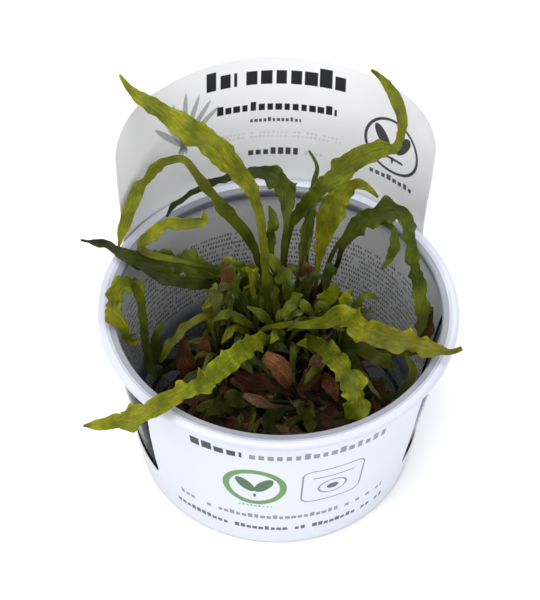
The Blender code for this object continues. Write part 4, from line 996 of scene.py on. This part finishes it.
# ---- print on the card: plain blocks, bars and simple shapes ----
class Print(Tree):
    """A card face. u is the arc in millimetres from the middle of its panel, v the height in millimetres."""

    def __init__(self, name, paper):
        super().__init__(name)
        uv = self.split(self.uv("card"))
        self.u, self.v = uv[0], uv[1]
        soft = self.noise(self.place(), 90.0, 2.0)
        self.colour = self.mix(soft, tuple(c * 0.965 for c in paper), paper)

    def bar(self, u, v, w, h, ink, strength=1.0, soft=0.12):
        """A round-ended bar centred at (u, v)."""
        du = self.math("ABSOLUTE", self.math("SUBTRACT", self.u, u))
        dv = self.math("ABSOLUTE", self.math("SUBTRACT", self.v, v))
        over = self.math("MAXIMUM", self.math("SUBTRACT", du, w / 2 - h / 2), 0.0)
        far = self.math("SQRT", self.math("ADD", self.math("MULTIPLY", over, over), self.math("MULTIPLY", dv, dv)))
        self.ink(self.math("SUBTRACT", h / 2, far), ink, strength, soft)

    def ink(self, inside, ink, strength=1.0, soft=0.12):
        """Paints where inside, a distance in millimetres, is above zero."""
        share = self.math("MULTIPLY", self.math("DIVIDE", inside, soft, clamp=True), strength)
        self.colour = self.mix(share, self.colour, ink)

    def box(self, u, v, w, h, corner, line, ink, strength=1.0):
        """The outline of a box with rounded corners."""
        du = self.math("MAXIMUM", self.math("SUBTRACT", self.math("ABSOLUTE", self.math("SUBTRACT", self.u, u)), w / 2 - corner), 0.0)
        dv = self.math("MAXIMUM", self.math("SUBTRACT", self.math("ABSOLUTE", self.math("SUBTRACT", self.v, v)), h / 2 - corner), 0.0)
        far = self.math("SUBTRACT", self.math("SQRT", self.math("ADD", self.math("MULTIPLY", du, du), self.math("MULTIPLY", dv, dv))), corner)
        self.ink(self.math("SUBTRACT", line / 2, self.math("ABSOLUTE", far)), ink, strength)

    def oval(self, u, v, w, h, turn, ink, strength=1.0, line=None):
        """An oval, filled or drawn in line."""
        c, s = math.cos(math.radians(turn)), math.sin(math.radians(turn))
        x, y = self.math("SUBTRACT", self.u, u), self.math("SUBTRACT", self.v, v)
        a = self.math("DIVIDE", self.math("ADD", self.math("MULTIPLY", x, c), self.math("MULTIPLY", y, s)), w / 2)
        b = self.math("DIVIDE", self.math("SUBTRACT", self.math("MULTIPLY", y, c), self.math("MULTIPLY", x, s)), h / 2)
        far = self.math("SQRT", self.math("ADD", self.math("MULTIPLY", a, a), self.math("MULTIPLY", b, b)))
        edge = self.math("MULTIPLY", self.math("SUBTRACT", 1.0, far), min(w, h) / 2)
        if line:
            edge = self.math("SUBTRACT", line / 2, self.math("ABSOLUTE", edge))
        self.ink(edge, ink, strength)

    def chance(self, a, b):
        noise = self.node("ShaderNodeTexWhiteNoise", noise_dimensions="2D")
        self.plug(noise.inputs["Vector"], self.join(a, b))
        return noise.outputs["Value"]

    def blocks(self, u0, u1, v0, v1, pitch, tall, step, ink, strength, seed, gaps=0.0, gap=0.30, soft=0.1):
        """Rows of plain upright blocks of uneven height, in groups, as stand-ins for printed lines."""
        line = self.math("DIVIDE", self.math("SUBTRACT", self.v, v0), pitch)
        row = self.math("FLOOR", line)
        up = self.math("SUBTRACT", self.math("MULTIPLY", self.math("FRACT", line), pitch), (pitch - tall) / 2)
        run = self.math("DIVIDE", self.math("ADD", self.math("SUBTRACT", self.u, u0), self.math("MULTIPLY", row, 0.37 * step + seed * 0.113)), step)
        cell = self.math("FLOOR", run)
        one = self.chance(cell, self.math("ADD", row, seed + 0.5))
        two = self.chance(self.math("ADD", cell, 31.7), self.math("ADD", row, seed + 7.5))
        word = self.chance(self.math("ADD", cell, 77.3), self.math("ADD", row, seed + 3.5))
        half = self.math("MULTIPLY", self.math("ADD", self.math("MULTIPLY", one, 0.22), 1.0 - gap - 0.14), step * 0.5)
        side = self.math("SUBTRACT", half, self.math("MULTIPLY", self.math("ABSOLUTE", self.math("SUBTRACT", self.math("FRACT", run), 0.5)), step))
        top = self.math("MULTIPLY", self.math("ADD", self.math("MULTIPLY", self.math("GREATER_THAN", two, 0.62), 0.26), 0.74), tall)
        inside = self.math("MINIMUM", side, self.math("MINIMUM", self.math("SUBTRACT", top, up), up))
        stack = v0 + pitch * max(1, int((v1 - v0) / pitch + 1e-6))
        area = self.math("MINIMUM", self.math("MINIMUM", self.math("SUBTRACT", self.u, u0), self.math("SUBTRACT", u1, self.u)),
                         self.math("MINIMUM", self.math("SUBTRACT", self.v, v0), self.math("SUBTRACT", stack, self.v)))
        on = self.math("GREATER_THAN", word, gaps)
        share = self.math("MULTIPLY", self.math("MULTIPLY", self.math("DIVIDE", self.math("MINIMUM", inside, area), soft, clamp=True), on), strength)
        self.colour = self.mix(share, self.colour, ink)

    def end(self, rough=0.42):
        grain = self.noise(self.place(), 1800.0, 2.0)
        self.set(Base_Color=self.colour, Roughness=self.math("ADD", self.math("MULTIPLY", grain, 0.12), rough), Normal=self.bump(grain, 0.12, 0.00005))
        self.set(Specular_IOR_Level=0.4)
        return self.mat


INK = (0.018, 0.018, 0.020)
GREY = (0.19, 0.19, 0.205)
FAINT = (0.50, 0.50, 0.53)
LEAF_INK = (0.10, 0.24, 0.055)
LEAF_DARK = (0.045, 0.11, 0.035)

inner_face = Print("card_inner", (0.895, 0.89, 0.90))
# tall back, facing the plants
for u0, u1, seed in ((-19.0, -9.5, 3), (-7.5, 21.0, 8)):
    inner_face.blocks(u0, u1, 89.6, 97.8, 8.0, 6.6, 4.1, INK, 1.0, seed, 0.0, 0.16)
inner_face.blocks(-15.5, 18.5, 80.4, 84.8, 4.2, 3.3, 2.35, INK, 1.0, 4, 0.0, 0.2)
inner_face.blocks(-6.0, 8.5, 76.2, 78.8, 2.5, 1.7, 1.25, INK, 0.9, 11, 0.0, 0.24)
inner_face.blocks(-6.5, 8.0, 63.6, 67.4, 3.6, 2.7, 2.1, INK, 0.95, 6, 0.0, 0.24)
inner_face.blocks(-14.0, -8.0, 63.9, 66.6, 2.6, 1.6, 1.4, FAINT, 0.5, 16, 0.0, 0.24)
inner_face.blocks(9.5, 15.0, 63.9, 66.6, 2.6, 1.6, 1.4, FAINT, 0.5, 17, 0.0, 0.24)
inner_face.blocks(-18.0, 20.0, 70.5, 74.8, 1.45, 0.9, 1.2, FAINT, 0.40, 5, 0.16)
# a ring with a sprig in it, and a short line of blocks
inner_face.oval(36.0, 77.6, 17.5, 18.5, 0, INK, 0.95, line=1.0)
inner_face.oval(32.6, 79.6, 3.6, 9.2, 30, INK, 0.95)
inner_face.oval(39.4, 79.6, 3.6, 9.2, -30, INK, 0.95)
inner_face.bar(36.0, 72.6, 0.9, 5.4, INK, 0.95)
inner_face.bar(36.0, 73.2, 7.4, 1.0, INK, 0.95)
inner_face.blocks(28.6, 43.4, 64.2, 67.4, 3.0, 2.1, 1.9, INK, 0.9, 21, 0.0, 0.24)
# a plain tuft in pale grey-green on the left
for k, turn in enumerate((-40, -26, -12, 3, 18, 33, 46)):
    inner_face.oval(-25.2 + 1.5 * (k - 3), 81.5 - 0.9 * abs(k - 3), 1.9, 24.0 - 2.2 * abs(k - 3), -turn, (0.11, 0.14, 0.11), 0.6)
# small print seen through the wall of the cup; below the rim the paper is painted a lighter white, as painted light
# making up for the dimmer light inside the cup
shade = inner_face.math("DIVIDE", inner_face.math("SUBTRACT", 50.8, inner_face.v), 2.0, clamp=True)
inner_face.colour = inner_face.mix(shade, inner_face.colour, (0.955, 0.94, 0.925))
inner_face.blocks(-80.0, -6.0, 18.5, 40.6, 1.62, 1.02, 0.92, (0.13, 0.12, 0.125), 0.85, 2, 0.17, 0.24)
inner_face.blocks(6.0, 80.0, 18.5, 40.6, 1.62, 1.02, 0.92, (0.13, 0.12, 0.125), 0.85, 9, 0.17, 0.24)
# low down, the print fades into a mottled dark blue-grey band: painted shade for the shaded gel and foot of the cup
# behind the wall
painted_shade_low_band = inner_face.math("DIVIDE", inner_face.math("SUBTRACT", 19.5, inner_face.v), 5.0, clamp=True)
cloud = inner_face.noise(inner_face.place(), 160.0, 4.0)
inner_face.colour = inner_face.mix(inner_face.math("MULTIPLY", painted_shade_low_band, 0.85), inner_face.colour, inner_face.ramp(cloud, [(0.3, (0.055, 0.075, 0.12)), (0.7, (0.22, 0.25, 0.33))]))
inner_mat = inner_face.end()

outer_face = Print("card_outer", (0.63, 0.655, 0.735))
# front panel; u is measured from the front's middle and the panel's lines bend with the wall
outer_face.blocks(-24.5, -11.0, 45.8, 50.2, 4.2, 3.5, 3.1, INK, 1.0, 5, 0.0, 0.14)
outer_face.blocks(-9.6, 25.6, 45.6, 49.8, 4.0, 3.0, 2.2, GREY, 0.95, 12, 0.10, 0.30)
outer_face.oval(-8.2, 31.4, 15.0, 16.4, 0, LEAF_INK, 1.0, line=1.9)
outer_face.oval(-10.6, 32.6, 3.6, 8.2, 32, LEAF_DARK, 1.0)
outer_face.oval(-5.8, 32.6, 3.6, 8.2, -32, LEAF_DARK, 1.0)
outer_face.bar(-8.2, 27.2, 1.0, 3.2, LEAF_DARK)
outer_face.blocks(-13.0, -3.5, 20.3, 22.4, 2.0, 1.2, 1.1, LEAF_INK, 0.7, 14, 0.0, 0.3)
outer_face.box(12.4, 31.0, 16.5, 16.0, 2.6, 0.6, GREY, 1.0)
outer_face.bar(12.4, 35.2, 11.5, 0.6, GREY, 1.0)
outer_face.oval(12.4, 29.6, 7.6, 6.4, 0, GREY, 1.0, line=0.6)
outer_face.oval(12.4, 29.6, 3.4, 2.8, 0, INK, 0.9)
outer_face.blocks(-31.5, 30.8, 13.9, 17.0, 2.9, 2.2, 1.75, GREY, 0.95, 3, 0.13, 0.18)
outer_face.blocks(-33.8, 32.3, 7.3, 10.4, 2.9, 2.2, 1.75, INK, 0.90, 6, 0.13, 0.16)
# the back of the tall card: plain rows of blocks on both halves of the join in its middle
for sign in (-1, 1):
    for v0, v1, pitch, tall, step, near_end, colour, strength, seed in (
            (84.0, 89.4, 5.0, 3.8, 2.6, 115.0, GREY, 0.9, 31), (58.0, 79.0, 3.0, 1.5, 1.5, 111.0, GREY, 0.7, 33), (22.0, 43.5, 3.0, 1.5, 1.5, 108.5, GREY, 0.6, 35)):
        a, b = sorted((sign * near_end, sign * 135.4))
        outer_face.blocks(a, b, v0, v1, pitch, tall, step, colour, strength, seed + sign, 0.14, 0.28)
outer_mat = outer_face.end()

edge_tree = Tree("card_edge")
edge_tree.set(Base_Color=edge_tree.ramp(edge_tree.noise(edge_tree.place(), 2500.0), [(0.3, (0.70, 0.69, 0.67)), (0.7, (0.82, 0.81, 0.80))]), Roughness=0.8)
edge_mat = edge_tree.mat

flat, sheet_faces = card_sheet()
count = len(flat)
half_t = 0.5 * CARD_T - 0.05
verts = []
for sign in (-1, 1):
    for u, z in flat:
        # thickness goes along the true normal of the bent surface
        dz = 0.05
        r = card_radius(u, z)
        slope = (card_radius(u, z + dz) - card_radius(u, z - dz)) / (2 * dz)
        size = math.hypot(1.0, slope)
        rr, zz = r + sign * half_t / size, z - sign * half_t * slope / size
        a = math.radians(u)
        verts.append((rr * math.sin(a) * MM, rr * math.cos(a) * MM, zz * MM))
edges = {}
for f in sheet_faces:
    for a, b in zip(f, f[1:] + f[:1]):
        edges.setdefault((min(a, b), max(a, b)), []).append((a, b))
faces, index = [], []
for f in sheet_faces:
    faces.append(tuple(f))
    index.append(0)
    faces.append(tuple(count + i for i in reversed(f)))
    index.append(1)
for used in edges.values():
    if len(used) == 1:
        a, b = used[0]
        if abs(abs(flat[a][0]) - 180) < 1e-3 and abs(abs(flat[b][0]) - 180) < 1e-3:
            continue
        faces.append((b, a, count + a, count + b))
        index.append(2)
# UVs go on by face corner, so that the join at the front doesn't smear the print
mesh = bpy.data.meshes.new("sleeve")
mesh.from_pydata(verts, [], faces)
for mat in (inner_mat, outer_mat, edge_mat):
    mesh.materials.append(mat)
mesh.polygons.foreach_set("material_index", index)
layer = mesh.uv_layers.new(name="card")
for poly in mesh.polygons:
    corners = [mesh.loops[k].vertex_index for k in poly.loop_indices]
    middle = sum(flat[i % count][0] for i in corners) / len(corners)
    for k, i in zip(poly.loop_indices, corners):
        u, z = flat[i % count]
        if i < count:
            layer.data[k].uv = (math.radians(u) * 48.0, z)
        else:
            layer.data[k].uv = (-math.radians(u - 180.0 if middle > 0 else u + 180.0) * 43.0, z)
work = bmesh.new()
work.from_mesh(mesh)
bmesh.ops.remove_doubles(work, verts=work.verts[:], dist=2e-6)
bmesh.ops.recalc_face_normals(work, faces=work.faces[:])
work.to_mesh(mesh)
work.free()
mesh.polygons.foreach_set("use_smooth", np.ones(len(mesh.polygons), bool))
mesh.set_sharp_from_angle(angle=math.radians(40))
sleeve = bpy.data.objects.new("sleeve", mesh)
bpy.context.scene.collection.objects.link(sleeve)
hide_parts("card_sleeve")
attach(sleeve, "root")


# ---- floor, light ----
def floor():
    mesh = bpy.data.meshes.new("floor")
    s = 3.0
    mesh.from_pydata([(-s, -s, -0.0002), (s, -s, -0.0002), (s, s, -0.0002), (-s, s, -0.0002)], [], [(0, 1, 2, 3)])
    t = Tree("floor")
    t.set(Base_Color=(0.93, 0.93, 0.94), Roughness=0.8)
    mesh.materials.append(t.mat)
    thing = bpy.data.objects.new("floor", mesh)
    bpy.context.scene.collection.objects.link(thing)


floor()
world = bpy.data.worlds.new("studio")
world.use_nodes = True
sky = world.node_tree.nodes["Background"]
sky.inputs["Color"].default_value = (0.965, 0.975, 1.0, 1.0)
sky.inputs["Strength"].default_value = 0.55
scene.world = world


def lamp(name, place, aim, size, power, colour=(1.0, 1.0, 1.0)):
    data = bpy.data.lights.new(name, "AREA")
    data.shape = "DISK"
    data.size = size
    data.energy = power
    data.color = colour
    thing = bpy.data.objects.new(name, data)
    thing.location = place
    thing.rotation_mode = "QUATERNION"
    thing.rotation_quaternion = (Vector(aim) - Vector(place)).to_track_quat("-Z", "Y")
    bpy.context.scene.collection.objects.link(thing)


lamp("top", (-0.12, -0.16, 0.95), (0, 0, 0.05), 0.55, 5.0)
lamp("front", (0.0, -0.62, 0.68), (0, 0, 0.05), 0.6, 2.6)
lamp("fill", (0.55, -0.5, 0.62), (0, 0, 0.06), 0.5, 1.6, (0.97, 0.98, 1.0))
lamp("side", (-0.62, -0.28, 0.58), (0, 0, 0.06), 0.5, 1.9, (0.98, 0.985, 1.0))
lamp("back", (0.1, 0.6, 0.6), (0, 0, 0.06), 0.4, 0.9)
